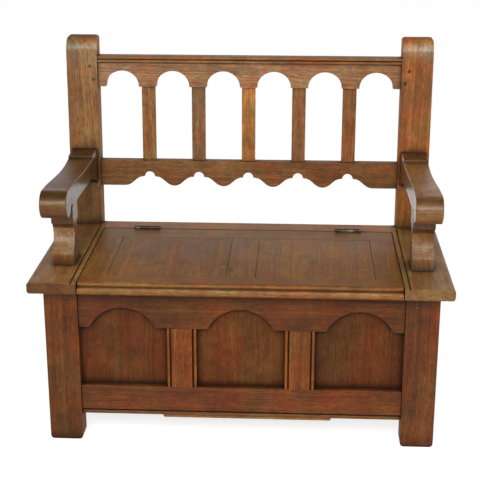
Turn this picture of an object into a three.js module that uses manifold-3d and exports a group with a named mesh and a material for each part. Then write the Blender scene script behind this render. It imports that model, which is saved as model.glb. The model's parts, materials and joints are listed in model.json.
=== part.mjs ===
// A small oak settle: a panelled storage box on legs, with a hinged lid for its seat, scrolled arms
// and a slatted back. Millimetres. X runs along the bench, to the right as seen from the front, Y runs
// towards the back and Z up. Every size in Y is measured from the front face of the front legs. The last
// lines move the whole bench in Y, so that its origin is on the floor under the middle of its bounding box.
import * as THREE from "three";
import { mergeVertices } from "three/addons/utils/BufferGeometryUtils.js";
import Module from "manifold-3d";

const wasm = await Module();
wasm.setup();

// Whole bench
const span = 1000; // over the outer faces of the legs
const boxDepth = 471; // front of the legs to back of the posts
const seatHeight = 462;
const backHeight = 989; // top of the back posts
const backLean = 21; // how far the post tops lean behind the line of their feet

// Legs and back posts
const legWidth = 85;
const legDepth = 56;
const postWidth = 84;
const postDepth = 52;
const postRoll = 44; // radius that rolls the front of a post over into its top
const postBackRound = 7; // radius along the back edge of a post's top
const postTopRound = 10; // radius of a post's top corners, seen from the front
const footRound = 10; // worn radius of the corners under each foot, seen from the front

// Joinery
const fit = 0.3; // clearance round every tenon, tongue, peg and let-in leaf
const tenonLength = 36;
const tenonThickness = 10;
const tenonShoulder = 5; // a tenon is this much lower than its rail at each edge
const tenonRoot = 4; // how far a tenon's solid reaches back into its own piece
const stubTenon = 12;
const pegRadius = 4.8;
const pegLength = 30;
const pegProud = 1;
const pegNear = 18; // from a leg's inner edge to its nearer pegs
const pegFar = 26; // the same to the pegs staggered from them
const pegBelowSeat = 42; // from the top of the arched rail down to its upper peg
const pegAboveRail = 24; // from the foot of the arched rail up to its lower peg
const pegBelowRail = 26; // the same on the bottom rail
const pegAboveFloor = 12;

// Rails, muntins and panels of the box
const faceSetback = 5; // face of the rails behind the faces of the legs
const railThickness = 32;
const floorClearance = 88; // underside of the bottom rails
const bottomRailHeight = 66;
const topRailHeight = 115;
const panelThickness = 8;
const panelRecess = 20; // face of a panel behind the face of its rails
const panelTongue = 8; // how far a panel's edge sits in its groove
const muntinWidth = 76;
const beadWidth = 8;
const quirkWidth = 3.5;
const quirkDepth = 5;
const archMargin = 29; // from each end of an arch to the edge of its bay
const archRise = 55;
const archRebateHeight = 81; // how far a front panel stands up behind the arched rail

// Floor of the box
const floorGap = 0.5;
const floorThickness = 16;
const floorInset = 5; // edge of the floor behind the faces of the rails
const battenLength = 443;
const battenOffset = 16; // middle of the batten to the right of the bench's middle
const battenDepth = 90;
const battenThickness = 9.5;
const battenInset = 5; // front edge of the batten behind the front edge of the floor
const battenChamfer = 5;

// Seat
const boardThickness = 30;
const overhangFront = 64;
const overhangSide = 28;
const endBoardWidth = 124;
const boardNose = 11; // radius that rounds the outer edges
const boardArris = 4; // radius that eases the front edges
const boardCorner = 7; // radius of the front outer corner, seen from above
const beadInset = 11; // scratched line from the inner edge of an end board
const scratchWidth = 4;
const scratchDepth = 3;
const stripDepth = 64;
const stripInset = 26; // back edge of the fixed strip in front of the backs of the posts

// Lid
const lidSideGap = 2.5;
const lidRest = 0.4; // air between the lid and the rail that it closes on
const lidBackGap = 1; // from the lid's back edge to the hinge line, and from there to the strip
const lidBackRail = 74;
const lidFrontRail = 63;
const lidStile = 65;
const lidMuntin = 73;
const lidPanelThickness = 14;
const lidTongue = 7;
const lidTongueThickness = 5;
const lidJoint = 0.8; // open joint round each flush panel
const noseArrisSetback = 17.5;
const noseOvolo = 8;
const noseSlot = 2.5; // depth of the groove between the ovolo and the bullnose
const noseQuirk = 1; // fall of the groove's floor towards the back
const noseRadius = 10.5;
const noseDrop = 3.5; // how far the bullnose hangs below the lid

// Hinges
const hingeInset = 84.5; // outer end of each hinge from the end of the lid
const hingeLength = 72;
const hingeKnuckles = 5;
const hingeRise = 3; // pin's axis above the seat
const knuckleRadius = 5;
const knuckleGap = 0.4;
const pinRadius = 2.2;
const leafThickness = 2;
const leafHeight = 22;
const leafGap = 0.5; // from each leaf to the hinge line

// Back
const backSetback = 8; // faces of the back rails behind the faces of the posts
const backRailThickness = 27;
const crestHeight = 84.5;
const crestDrop = 52; // top of the crest rail below the tops of the posts
const crestBandHeight = 19;
const crestBandProud = 6;
const slatCount = 5;
const slatWidth = 37.5;
const slatThickness = 14;
const slatSetback = 5; // face of the slats behind the faces of the back rails
const crestArchEnd = 21.5; // from each post to the first arch
const crestArchGap = 48; // between two arches
const crestArchRise = 42; // of the half ellipse over each arch
const crestArchStilt = 2; // straight foot of each arch under its half ellipse
const midRailRise = 183; // top of the middle rail above the seat
const midRailHeight = 72;
const notchRadius = 14.5;
const notchShoulder = 3.5;
const notchHeight = 26; // foot of each notch above the lobes
const lobeSlope = 22; // length of the pull that shapes the lobe's double curve
const lobeFoot = 23; // the same at the bottom of the lobe

// Arms, with their heights above the seat
const armWidth = 70; // where it meets the post
const armWaist = 65;
const armRise = 218; // top of the arm at the post
const armLedge = 70; // depth of the level ledge in front of the post
const armLedgeFall = 4;
const armRiser = 7;
const armBracketRise = 120; // bottom of the arm at the post
const armBracket = 125; // length of the curve under the arm at the post
const armUndersideRise = 154;
const scrollRadius = 35.5;
const scrollSetback = 6; // middle of the scroll behind the faces of the legs
const scrollRise = 182.5; // middle of the scroll
const scrollWidth = 68;
const scrollSlitRise = 166; // top of the slit behind the scroll
const armTenonWidth = 22;
const armTenonHeight = 50;
const armTenonLength = 24;

// Arm supports
const supportWidth = 55;
const supportBlockWidth = 57;
const supportFootFront = 68;
const supportFootDepth = 82;
const supportFootHeight = 35;
const supportBlockHeight = 50;
const supportBlockFront = 76;
const supportBlockDepth = 62;
const supportNeckFront = 93;
const supportNeckDepth = 35;
const supportLip = 4; // how far the block stands out over the neck at its foot
const supportHeight = 158;
const supportTenon = 24; // thickness of the square tenons at its ends

// Places worked out from the sizes
const legOuter = span / 2;
const legInner = legOuter - legWidth;
const postInner = legOuter - postWidth;
const postMiddle = legOuter - postWidth / 2;
const postFront = boxDepth - postDepth;
const railTop = seatHeight - boardThickness;
const topRailBottom = railTop - topRailHeight;
const bottomRailTop = floorClearance + bottomRailHeight;
const railFront = faceSetback;
const railBack = railFront + railThickness;
const lipMiddle = railFront + (panelRecess - fit) / 2; // middle of what stands in front of the panels
const rearRailBack = boxDepth - faceSetback;
const rearRailFront = rearRailBack - railThickness;
const sideRailOuter = legOuter - faceSetback;
const sideRailInner = sideRailOuter - railThickness;
const bayWidth = (2 * legInner - 2 * muntinWidth) / 3;
const bayPitch = bayWidth + muntinWidth;
const archWidth = bayWidth - 2 * archMargin;
const boardInner = legOuter + overhangSide - endBoardWidth;
const boardOuter = legOuter + overhangSide;
const stripBack = boxDepth - stripInset;
const stripFront = stripBack - stripDepth;
const hingeY = stripFront - lidBackGap;
const hingeZ = seatHeight + hingeRise;
const lidBack = hingeY - lidBackGap;
const lidHalf = boardInner - lidSideGap;
const lidBottom = railTop + lidRest;
const lidFrontJoint = lidFrontRail - overhangFront;
const lidBackJoint = lidBack - lidBackRail;
const hingeOffset = lidHalf - hingeInset - hingeLength / 2;
const leanSlope = backLean / (backHeight - seatHeight);
const backFace = postFront + backSetback;
const crestTop = backHeight - crestDrop;
const crestBottom = crestTop - crestHeight;
const crestArches = slatCount + 1;
const crestArchRoom = 2 * postInner - 2 * crestArchEnd - slatCount * crestArchGap;
const crestArchWidth = crestArchRoom / crestArches;
const crestArchPitch = crestArchWidth + crestArchGap;
const slatPitch = (2 * postInner) / crestArches;
const midRailTop = seatHeight + midRailRise;
const midRailBottom = midRailTop - midRailHeight;
const armTopAtPost = seatHeight + armRise;
const armBottomAtPost = seatHeight + armBracketRise;
const armUnderside = seatHeight + armUndersideRise;
const scrollHeight = seatHeight + scrollRise;
const scrollSlit = seatHeight + scrollSlitRise;
const supportTop = seatHeight + supportHeight;
const sides = [
  { hand: "left", sign: -1 },
  { hand: "right", sign: 1 },
];

const finishes = {
  frame: new THREE.MeshStandardMaterial({ color: 0x7b4d2c, roughness: 0.45, metalness: 0 }),
  panel: new THREE.MeshStandardMaterial({ color: 0x6b3a20, roughness: 0.5, metalness: 0 }),
  seat: new THREE.MeshStandardMaterial({ color: 0x7a5b3d, roughness: 0.4, metalness: 0 }),
  arm: new THREE.MeshStandardMaterial({ color: 0x77512f, roughness: 0.35, metalness: 0 }),
  inside: new THREE.MeshStandardMaterial({ color: 0x8a6a48, roughness: 0.7, metalness: 0 }),
  iron: new THREE.MeshStandardMaterial({ color: 0x2e2a27, roughness: 0.6, metalness: 0.8 }),
};

// A closed geometry as a solid that can be joined and cut.
function solid(geometry) {
  const bare = geometry.index ? geometry.toNonIndexed() : geometry.clone();
  bare.deleteAttribute("normal");
  bare.deleteAttribute("uv");
  const merged = mergeVertices(bare, 1e-5);
  const vertProperties = merged.getAttribute("position").array;
  const triVerts = new Uint32Array(merged.index.array);
  return new wasm.Manifold(new wasm.Mesh({ numProp: 3, vertProperties, triVerts }));
}

// A box between two X, two Y and two Z values, each pair in either order and each grown by a margin.
function block(xs, ys, zs, margin = 0) {
  const low = [xs, ys, zs].map((pair) => Math.min(...pair) - margin);
  const high = [xs, ys, zs].map((pair) => Math.max(...pair) + margin);
  const box = new THREE.BoxGeometry(1, 1, 1);
  const at = box.getAttribute("position");
  for (let i = 0; i < at.count; i++) {
    at.setXYZ(
      i,
      at.getX(i) < 0 ? low[0] : high[0],
      at.getY(i) < 0 ? low[1] : high[1],
      at.getZ(i) < 0 ? low[2] : high[2],
    );
  }
  return box;
}

// An outline pushed along one axis between two places. Its own two coordinates are the other two axes in
// the order X, Y, Z: Y and Z for a push along X, X and Z for a push along Y, X and Y for a push along Z.
function prism(outline, axis, from, to, curveSegments = 8) {
  const pushed = new THREE.ExtrudeGeometry(outline, {
    depth: 1,
    bevelEnabled: false,
    curveSegments,
  });
  const at = pushed.getAttribute("position");
  const low = Math.min(from, to);
  const high = Math.max(from, to);
  for (let i = 0; i < at.count; i++) {
    const a = at.getX(i);
    const b = at.getY(i);
    const far = at.getZ(i) > 0.5;
    if (axis === "x") at.setXYZ(i, far ? high : low, a, b);
    if (axis === "y") at.setXYZ(i, a, far ? low : high, b);
    if (axis === "z") at.setXYZ(i, a, b, far ? high : low);
  }
  return pushed;
}

// The same geometry leaning back with the posts: what is higher than the seat moves further back.
function leaning(geometry) {
  const at = geometry.getAttribute("position");
  for (let i = 0; i < at.count; i++) {
    at.setY(i, at.getY(i) + leanSlope * Math.max(0, at.getZ(i) - seatHeight));
  }
  return geometry;
}

// A round bar along X or Y between two places.
function bar(axis, radius, from, to, centre, sidesRound = 24) {
  const low = Math.min(from, to);
  const high = Math.max(from, to);
  const round = new THREE.CylinderGeometry(radius, radius, high - low, sidesRound);
  const middle = (low + high) / 2;
  if (axis === "x") {
    round.rotateZ(Math.PI / 2);
    return round.translate(middle, centre[0], centre[1]);
  }
  return round.translate(centre[0], middle, centre[1]);
}

// The pieces of the bench by name: each has its solid, and the finish of its surface.
const pieces = new Map();

function put(name, body, finish) {
  pieces.set(name, { body, finish });
}

function cutFrom(name, tool) {
  const piece = pieces.get(name);
  piece.body = piece.body.subtract(tool);
}

function addTo(name, extra) {
  const piece = pieces.get(name);
  piece.body = piece.body.add(extra);
}

// A tenon on one piece and the mortise for it in another. A tenon of the back leans with it.
function tenon(guest, host, xs, ys, zs, shape = (geometry) => geometry) {
  addTo(guest, solid(shape(block(xs, ys, zs))));
  cutFrom(host, solid(shape(block(xs, ys, zs, fit))));
}

// A thin board whose edges sit in grooves of its neighbours.
function grooved(name, hosts, xs, ys, zs, finish) {
  put(name, solid(block(xs, ys, zs)), finish);
  for (const host of hosts) cutFrom(host, solid(block(xs, ys, zs, fit)));
}

// A leg or post seen from the front, with rounded corners at its foot and, if asked, at its top.
function upright(inner, outer, top, topRound = 0) {
  const low = Math.min(inner, outer);
  const high = Math.max(inner, outer);
  const front = new THREE.Shape();
  front.moveTo(low + footRound, 0);
  front.lineTo(high - footRound, 0);
  front.absarc(high - footRound, footRound, footRound, 1.5 * Math.PI, 2 * Math.PI);
  front.lineTo(high, top - topRound);
  if (topRound) front.absarc(high - topRound, top - topRound, topRound, 0, Math.PI / 2);
  front.lineTo(low + topRound, top);
  if (topRound) front.absarc(low + topRound, top - topRound, topRound, Math.PI / 2, Math.PI);
  front.lineTo(low, footRound);
  front.absarc(low + footRound, footRound, footRound, Math.PI, 1.5 * Math.PI);
  return front;
}

function frontLeg({ hand, sign }) {
  const front = upright(sign * legInner, sign * legOuter, railTop);
  put(`front_leg_${hand}`, solid(prism(front, "y", 0, legDepth, 4)), finishes.frame);
}

// A back post stands upright up to the seat and leans from there. Its front rolls over into its top.
function backPost({ hand, sign }) {
  const side = new THREE.Shape();
  side.moveTo(postFront, seatHeight);
  side.lineTo(postFront, 0);
  side.lineTo(boxDepth, 0);
  side.lineTo(boxDepth, seatHeight);
  side.lineTo(boxDepth, backHeight - postBackRound);
  side.absarc(boxDepth - postBackRound, backHeight - postBackRound, postBackRound, 0, Math.PI / 2);
  side.lineTo(postFront + postRoll, backHeight);
  side.absarc(postFront + postRoll, backHeight - postRoll, postRoll, Math.PI / 2, Math.PI);
  side.closePath();
  const front = upright(sign * postInner, sign * legOuter, backHeight, postTopRound);
  const rolled = solid(leaning(prism(side, "x", sign * postInner, sign * legOuter)));
  const squared = solid(prism(front, "y", postFront, boxDepth + backLean, 4));
  put(`back_post_${hand}`, rolled.intersect(squared), finishes.frame);
}

// Rails of the box between two legs or posts, with a tenon into each.
function frontRail(name, zs) {
  const body = solid(block([-legInner, legInner], [railFront, railBack], zs));
  put(name, body, finishes.frame);
}

function railTenons(name, hosts, inner, middle, zs) {
  const ys = [middle - tenonThickness / 2, middle + tenonThickness / 2];
  for (const { hand, sign } of sides) {
    const xs = [sign * (inner - tenonRoot), sign * (inner + tenonLength)];
    tenon(name, `${hosts}_${hand}`, xs, ys, [zs[0] + tenonShoulder, zs[1] - tenonShoulder]);
  }
}

// The arched rail is rebated behind, where the front panels stand up behind its arches.
function frontArchedRail() {
  const name = "front_arched_rail";
  const zs = [topRailBottom, railTop];
  frontRail(name, zs);
  const rebate = block(
    [-legInner - tenonLength, legInner + tenonLength],
    [railFront + panelRecess - fit, railBack + fit],
    [topRailBottom - fit, topRailBottom + archRebateHeight + fit],
  );
  cutFrom(name, solid(rebate));
  const half = archWidth / 2;
  const radius = (half * half + archRise * archRise) / (2 * archRise);
  const reach = Math.asin(half / radius);
  for (let bay = -1; bay <= 1; bay++) {
    const arch = new THREE.Shape();
    const middle = topRailBottom + archRise - radius;
    arch.absarc(bay * bayPitch, middle, radius, Math.PI / 2 - reach, Math.PI / 2 + reach);
    arch.lineTo(bay * bayPitch - half, topRailBottom - fit);
    arch.lineTo(bay * bayPitch + half, topRailBottom - fit);
    arch.closePath();
    cutFrom(name, solid(prism(arch, "y", railFront - fit, railBack + fit)));
  }
  railTenons(name, "front_leg", legInner, lipMiddle, zs);
}

function frontBottomRail() {
  const zs = [floorClearance, bottomRailTop];
  frontRail("front_bottom_rail", zs);
  railTenons("front_bottom_rail", "front_leg", legInner, lipMiddle, zs);
}

// A front muntin is flat in the middle, with a quirk and a bead along each edge.
function frontMuntin({ hand, sign }) {
  const middle = (sign * bayPitch) / 2;
  const half = muntinWidth / 2;
  const bead = beadWidth / 2;
  const plan = new THREE.Shape();
  plan.moveTo(middle - half, railBack);
  plan.lineTo(middle - half, railFront + bead);
  plan.absarc(middle - half + bead, railFront + bead, bead, Math.PI, 2 * Math.PI);
  plan.lineTo(middle - half + beadWidth, railFront + quirkDepth);
  plan.lineTo(middle - half + beadWidth + quirkWidth, railFront + quirkDepth);
  plan.lineTo(middle - half + beadWidth + quirkWidth, railFront);
  plan.lineTo(middle + half - beadWidth - quirkWidth, railFront);
  plan.lineTo(middle + half - beadWidth - quirkWidth, railFront + quirkDepth);
  plan.lineTo(middle + half - beadWidth, railFront + quirkDepth);
  plan.absarc(middle + half - bead, railFront + bead, bead, Math.PI, 2 * Math.PI);
  plan.lineTo(middle + half, railBack);
  plan.closePath();
  const name = `front_muntin_${hand}`;
  put(name, solid(prism(plan, "z", bottomRailTop, topRailBottom, 5)), finishes.frame);
  const ys = [lipMiddle - tenonThickness / 2, lipMiddle + tenonThickness / 2];
  const xs = [middle - half + beadWidth + tenonShoulder, middle + half - beadWidth - tenonShoulder];
  tenon(name, "front_arched_rail", xs, ys, [topRailBottom - tenonRoot, topRailBottom + stubTenon]);
  tenon(name, "front_bottom_rail", xs, ys, [bottomRailTop - stubTenon, bottomRailTop + tenonRoot]);
}

function frontPanels() {
  const ys = [railFront + panelRecess, railFront + panelRecess + panelThickness];
  const zs = [bottomRailTop - panelTongue, topRailBottom + archRebateHeight];
  const muntinEdge = bayPitch / 2 - muntinWidth / 2 + panelTongue;
  const outerEdge = bayPitch / 2 + muntinWidth / 2 - panelTongue;
  const middleHosts = ["front_bottom_rail", "front_muntin_left", "front_muntin_right"];
  grooved("front_panel_middle", middleHosts, [-muntinEdge, muntinEdge], ys, zs, finishes.panel);
  for (const { hand, sign } of sides) {
    const hosts = ["front_bottom_rail", `front_muntin_${hand}`, `front_leg_${hand}`];
    const xs = [sign * outerEdge, sign * (legInner + panelTongue)];
    grooved(`front_panel_${hand}`, hosts, xs, ys, zs, finishes.panel);
  }
}

// One end of the box: two rails between a leg and a post, and a panel between them.
function boxEnd({ hand, sign }) {
  const xs = [sign * sideRailInner, sign * sideRailOuter];
  const ys = [legDepth, postFront];
  const rails = { top: [topRailBottom, railTop], bottom: [floorClearance, bottomRailTop] };
  const tongue = (railThickness - tenonThickness) / 2;
  const tenonXs = [sign * (sideRailInner + tongue), sign * (sideRailOuter - tongue)];
  const reach = tenonLength - tenonThickness;
  for (const [level, zs] of Object.entries(rails)) {
    const name = `side_${level}_rail_${hand}`;
    put(name, solid(block(xs, ys, zs)), finishes.frame);
    const tenonZs = [zs[0] + tenonShoulder, zs[1] - tenonShoulder];
    tenon(name, `front_leg_${hand}`, tenonXs, [legDepth - reach, legDepth + tenonRoot], tenonZs);
    tenon(name, `back_post_${hand}`, tenonXs, [postFront - tenonRoot, postFront + reach], tenonZs);
  }
  const panelOuter = sideRailOuter - panelRecess;
  grooved(
    `side_panel_${hand}`,
    [`side_top_rail_${hand}`, `side_bottom_rail_${hand}`, `front_leg_${hand}`, `back_post_${hand}`],
    [sign * (panelOuter - panelThickness), sign * panelOuter],
    [legDepth - panelTongue, postFront + panelTongue],
    [bottomRailTop - panelTongue, topRailBottom + panelTongue],
    finishes.panel,
  );
}

// The back of the box: two rails between the posts, a plain muntin and two panels.
function boxBack() {
  const rails = { top: [topRailBottom, railTop], bottom: [floorClearance, bottomRailTop] };
  for (const [level, zs] of Object.entries(rails)) {
    const name = `rear_${level}_rail`;
    const rail = block([-postInner, postInner], [rearRailFront, rearRailBack], zs);
    put(name, solid(rail), finishes.frame);
    railTenons(name, "back_post", postInner, (rearRailFront + rearRailBack) / 2, zs);
  }
  const half = muntinWidth / 2;
  const muntin = block([-half, half], [rearRailFront, rearRailBack], [bottomRailTop, topRailBottom]);
  put("rear_muntin", solid(muntin), finishes.frame);
  const inset = (railThickness - tenonThickness) / 2;
  const ys = [rearRailFront + inset, rearRailBack - inset];
  const xs = [tenonShoulder - half, half - tenonShoulder];
  tenon("rear_muntin", "rear_top_rail", xs, ys, [topRailBottom - tenonRoot, topRailBottom + stubTenon]);
  tenon("rear_muntin", "rear_bottom_rail", xs, ys, [bottomRailTop - stubTenon, bottomRailTop + tenonRoot]);
  const panelBack = rearRailBack - panelRecess;
  for (const { hand, sign } of sides) {
    grooved(
      `rear_panel_${hand}`,
      ["rear_top_rail", "rear_bottom_rail", "rear_muntin", `back_post_${hand}`],
      [sign * (half - panelTongue), sign * (postInner + panelTongue)],
      [panelBack - panelThickness, panelBack],
      [bottomRailTop - panelTongue, topRailBottom + panelTongue],
      finishes.panel,
    );
  }
}

// The floor lies under the bottom rails, notched round the legs and posts, with a batten under its front.
function boxFloor() {
  const top = floorClearance - floorGap;
  const zs = [top - floorThickness, top];
  const front = railFront + floorInset;
  const long = block([-legInner + floorGap, legInner - floorGap], [front, boxDepth - front], zs);
  const wide = sideRailOuter - floorInset;
  const across = block([-wide, wide], [legDepth + floorGap, postFront - floorGap], zs);
  const corners = solid(long).add(solid(across));
  put("box_floor", corners, finishes.inside);
  const left = battenOffset - battenLength / 2;
  const right = battenOffset + battenLength / 2;
  const strip = new THREE.Shape();
  strip.moveTo(left, zs[0]);
  strip.lineTo(left + battenChamfer, zs[0] - battenThickness);
  strip.lineTo(right - battenChamfer, zs[0] - battenThickness);
  strip.lineTo(right, zs[0]);
  strip.closePath();
  const batten = prism(strip, "y", front + battenInset, front + battenInset + battenDepth);
  put("floor_batten", solid(batten), finishes.inside);
}

// An end board of the seat, rounded along its front and outer edges, with a line scratched beside the lid.
function seatEndBoard({ hand, sign }) {
  const plan = new THREE.Shape();
  const front = -overhangFront;
  plan.moveTo(sign * boardInner, front);
  plan.lineTo(sign * (boardOuter - boardCorner), front);
  plan.absarc(
    sign * (boardOuter - boardCorner),
    front + boardCorner,
    boardCorner,
    -Math.PI / 2,
    sign > 0 ? 0 : -Math.PI,
    sign < 0,
  );
  plan.lineTo(sign * boardOuter, postFront);
  plan.lineTo(sign * postInner, postFront);
  plan.lineTo(sign * postInner, stripBack);
  plan.lineTo(sign * boardInner, stripBack);
  plan.closePath();
  const noseFront = new THREE.Shape();
  noseFront.moveTo(stripBack, railTop);
  noseFront.lineTo(stripBack, seatHeight);
  noseFront.lineTo(front + boardArris, seatHeight);
  noseFront.absarc(front + boardArris, seatHeight - boardArris, boardArris, Math.PI / 2, Math.PI);
  noseFront.lineTo(front, railTop + boardArris);
  noseFront.absarc(front + boardArris, railTop + boardArris, boardArris, Math.PI, 1.5 * Math.PI);
  noseFront.closePath();
  const noseOuter = new THREE.Shape();
  noseOuter.moveTo(0, railTop);
  noseOuter.lineTo(sign * (boardOuter - boardNose), railTop);
  const outerArc = (z, from, to) =>
    noseOuter.absarc(sign * (boardOuter - boardNose), z, boardNose, from, to, sign < 0);
  outerArc(railTop + boardNose, -Math.PI / 2, sign > 0 ? 0 : -Math.PI);
  outerArc(seatHeight - boardNose, sign > 0 ? 0 : Math.PI, Math.PI / 2);
  noseOuter.lineTo(0, seatHeight);
  noseOuter.closePath();
  const flat = solid(prism(plan, "z", railTop, seatHeight));
  const roundedFront = solid(prism(noseFront, "x", sign * boardInner, sign * boardOuter));
  const roundedOuter = solid(prism(noseOuter, "y", front, stripBack));
  const scratchAt = boardInner + beadInset;
  const scratch = solid(
    block(
      [sign * scratchAt, sign * (scratchAt + scratchWidth)],
      [front - fit, postFront - beadInset],
      [seatHeight - scratchDepth, seatHeight + fit],
    ),
  );
  const body = flat.intersect(roundedFront).intersect(roundedOuter).subtract(scratch);
  put(`seat_end_board_${hand}`, body, finishes.seat);
  const post = block(
    [sign * postInner, sign * boardOuter],
    [postFront, boxDepth],
    [railTop, seatHeight],
    fit,
  );
  cutFrom(`seat_end_board_${hand}`, solid(post));
}

// The fixed strip behind the lid, which carries the hinges.
function seatBackStrip() {
  const half = boardInner - fit;
  const strip = block([-half, half], [stripFront, stripBack], [railTop, seatHeight]);
  put("seat_back_strip", solid(strip), finishes.seat);
}

// The lid's front rail carries the moulded nose: a small ovolo, a quirk and a bullnose.
function lidFront() {
  const front = -overhangFront;
  const noseMiddle = lidBottom - noseDrop + noseRadius;
  const noseTop = noseMiddle + noseRadius;
  const slotBack = front + noseArrisSetback - noseOvolo + noseSlot;
  const side = new THREE.Shape();
  side.moveTo(lidFrontJoint, lidBottom);
  side.lineTo(lidFrontJoint, seatHeight);
  side.lineTo(front + noseArrisSetback, seatHeight);
  side.absarc(front + noseArrisSetback, seatHeight - noseOvolo, noseOvolo, Math.PI / 2, Math.PI);
  side.lineTo(slotBack, seatHeight - noseOvolo);
  side.lineTo(slotBack, noseTop - noseQuirk);
  side.lineTo(front + noseRadius, noseTop);
  side.absarc(front + noseRadius, noseMiddle, noseRadius, Math.PI / 2, 1.5 * Math.PI);
  side.lineTo(front + 2 * noseRadius, lidBottom);
  side.closePath();
  put("lid_front_rail", solid(prism(side, "x", -lidHalf, lidHalf)), finishes.seat);
}

function lidFrame() {
  const zs = [lidBottom, seatHeight];
  const half = lidMuntin / 2;
  put("lid_back_rail", solid(block([-lidHalf, lidHalf], [lidBackJoint, lidBack], zs)), finishes.seat);
  const uprights = { lid_muntin: [-half, half] };
  for (const { hand, sign } of sides) {
    uprights[`lid_stile_${hand}`] = [sign * (lidHalf - lidStile), sign * lidHalf];
  }
  const middle = (lidBottom + seatHeight) / 2;
  const tenonZs = [middle - tenonThickness / 2, middle + tenonThickness / 2];
  for (const [name, xs] of Object.entries(uprights)) {
    put(name, solid(block(xs, [lidFrontJoint, lidBackJoint], zs)), finishes.seat);
    const tenonXs = [Math.min(...xs) + tenonShoulder, Math.max(...xs) - tenonShoulder];
    tenon(name, "lid_front_rail", tenonXs, [lidFrontJoint - stubTenon, lidFrontJoint + tenonRoot], tenonZs);
    tenon(name, "lid_back_rail", tenonXs, [lidBackJoint - tenonRoot, lidBackJoint + stubTenon], tenonZs);
  }
}

// Two panels lie flush in the lid's frame, with a tongue all round.
function lidPanel({ hand, sign }) {
  const xs = [sign * (lidMuntin / 2 + lidJoint), sign * (lidHalf - lidStile - lidJoint)];
  const ys = [lidFrontJoint + lidJoint, lidBackJoint - lidJoint];
  const name = `lid_panel_${hand}`;
  put(name, solid(block(xs, ys, [seatHeight - lidPanelThickness, seatHeight])), finishes.seat);
  const tongueXs = [sign * (lidMuntin / 2 - lidTongue), sign * (lidHalf - lidStile + lidTongue)];
  const tongueYs = [lidFrontJoint - lidTongue, lidBackJoint + lidTongue];
  const tongueMiddle = seatHeight - lidPanelThickness / 2;
  const tongueZs = [tongueMiddle - lidTongueThickness / 2, tongueMiddle + lidTongueThickness / 2];
  addTo(name, solid(block(tongueXs, tongueYs, tongueZs)));
  for (const host of ["lid_front_rail", "lid_back_rail", "lid_muntin", `lid_stile_${hand}`]) {
    cutFrom(host, solid(block(tongueXs, tongueYs, tongueZs, fit)));
  }
}

// A butt hinge: a fixed leaf let into the strip, a moving leaf let into the lid, and their pin.
function hinge({ hand, sign }) {
  const middle = sign * hingeOffset;
  const start = middle - hingeLength / 2;
  const axis = [hingeY, hingeZ];
  const step = hingeLength / hingeKnuckles;
  const leaves = {
    hinge_fixed_leaf: { way: 1, host: "seat_back_strip", first: 0 },
    hinge_moving_leaf: { way: -1, host: "lid_back_rail", first: 1 },
  };
  const bore = solid(bar("x", pinRadius + fit, start - step, start + hingeLength + step, axis));
  for (const [kind, { way, host, first }] of Object.entries(leaves)) {
    const xs = [start, start + hingeLength];
    const ys = [hingeY + way * leafGap, hingeY + way * (leafGap + leafThickness)];
    const zs = [hingeZ - leafHeight, hingeZ];
    const name = `${kind}_${hand}`;
    put(name, solid(block(xs, ys, zs)), finishes.iron);
    for (let knuckle = 0; knuckle < hingeKnuckles; knuckle++) {
      const from = start + knuckle * step;
      if (knuckle % 2 === first) {
        const gapBefore = knuckle > 0 ? knuckleGap / 2 : 0;
        const gapAfter = knuckle < hingeKnuckles - 1 ? knuckleGap / 2 : 0;
        addTo(name, solid(bar("x", knuckleRadius, from + gapBefore, from + step - gapAfter, axis)));
      }
    }
    for (let knuckle = 0; knuckle < hingeKnuckles; knuckle++) {
      const from = start + knuckle * step;
      if (knuckle % 2 !== first) {
        const clear = knuckleGap / 2;
        cutFrom(name, solid(bar("x", knuckleRadius + fit, from - clear, from + step + clear, axis)));
      }
    }
    cutFrom(name, bore);
    cutFrom(host, solid(block(xs, [hingeY, ys[1]], [zs[0], seatHeight + fit], fit)));
    const well = bar("x", knuckleRadius + 2 * fit, start - fit, start + hingeLength + fit, axis);
    cutFrom(host, solid(well));
  }
  const pin = bar("x", pinRadius, start - fit, start + hingeLength + fit, axis);
  put(`hinge_pin_${hand}`, solid(pin), finishes.iron);
}

// The crest rail: an arch over every gap between the slats, and a band of two reeds along its top.
function crestRail() {
  const outline = new THREE.Shape();
  outline.moveTo(-postInner, crestTop);
  outline.lineTo(-postInner, crestBottom);
  const half = crestArchWidth / 2;
  for (let arch = 0; arch < crestArches; arch++) {
    const middle = (arch - (crestArches - 1) / 2) * crestArchPitch;
    outline.lineTo(middle - half, crestBottom);
    outline.lineTo(middle - half, crestBottom + crestArchStilt);
    outline.absellipse(middle, crestBottom + crestArchStilt, half, crestArchRise, Math.PI, 0, true);
    outline.lineTo(middle + half, crestBottom);
  }
  outline.lineTo(postInner, crestBottom);
  outline.lineTo(postInner, crestTop);
  outline.closePath();
  const rail = solid(leaning(prism(outline, "y", backFace, backFace + backRailThickness)));
  const band = new THREE.Shape();
  const reed = crestBandHeight / 4;
  const bandFace = backFace - crestBandProud + reed;
  band.moveTo(backFace + reed, crestTop);
  band.lineTo(bandFace, crestTop);
  band.absarc(bandFace, crestTop - reed, reed, Math.PI / 2, 1.5 * Math.PI);
  band.absarc(bandFace, crestTop - 3 * reed, reed, Math.PI / 2, 1.5 * Math.PI);
  band.lineTo(backFace + reed, crestTop - crestBandHeight);
  band.closePath();
  const reeds = solid(leaning(prism(band, "x", -postInner, postInner, 5)));
  put("crest_rail", rail.add(reeds), finishes.frame);
}

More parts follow.
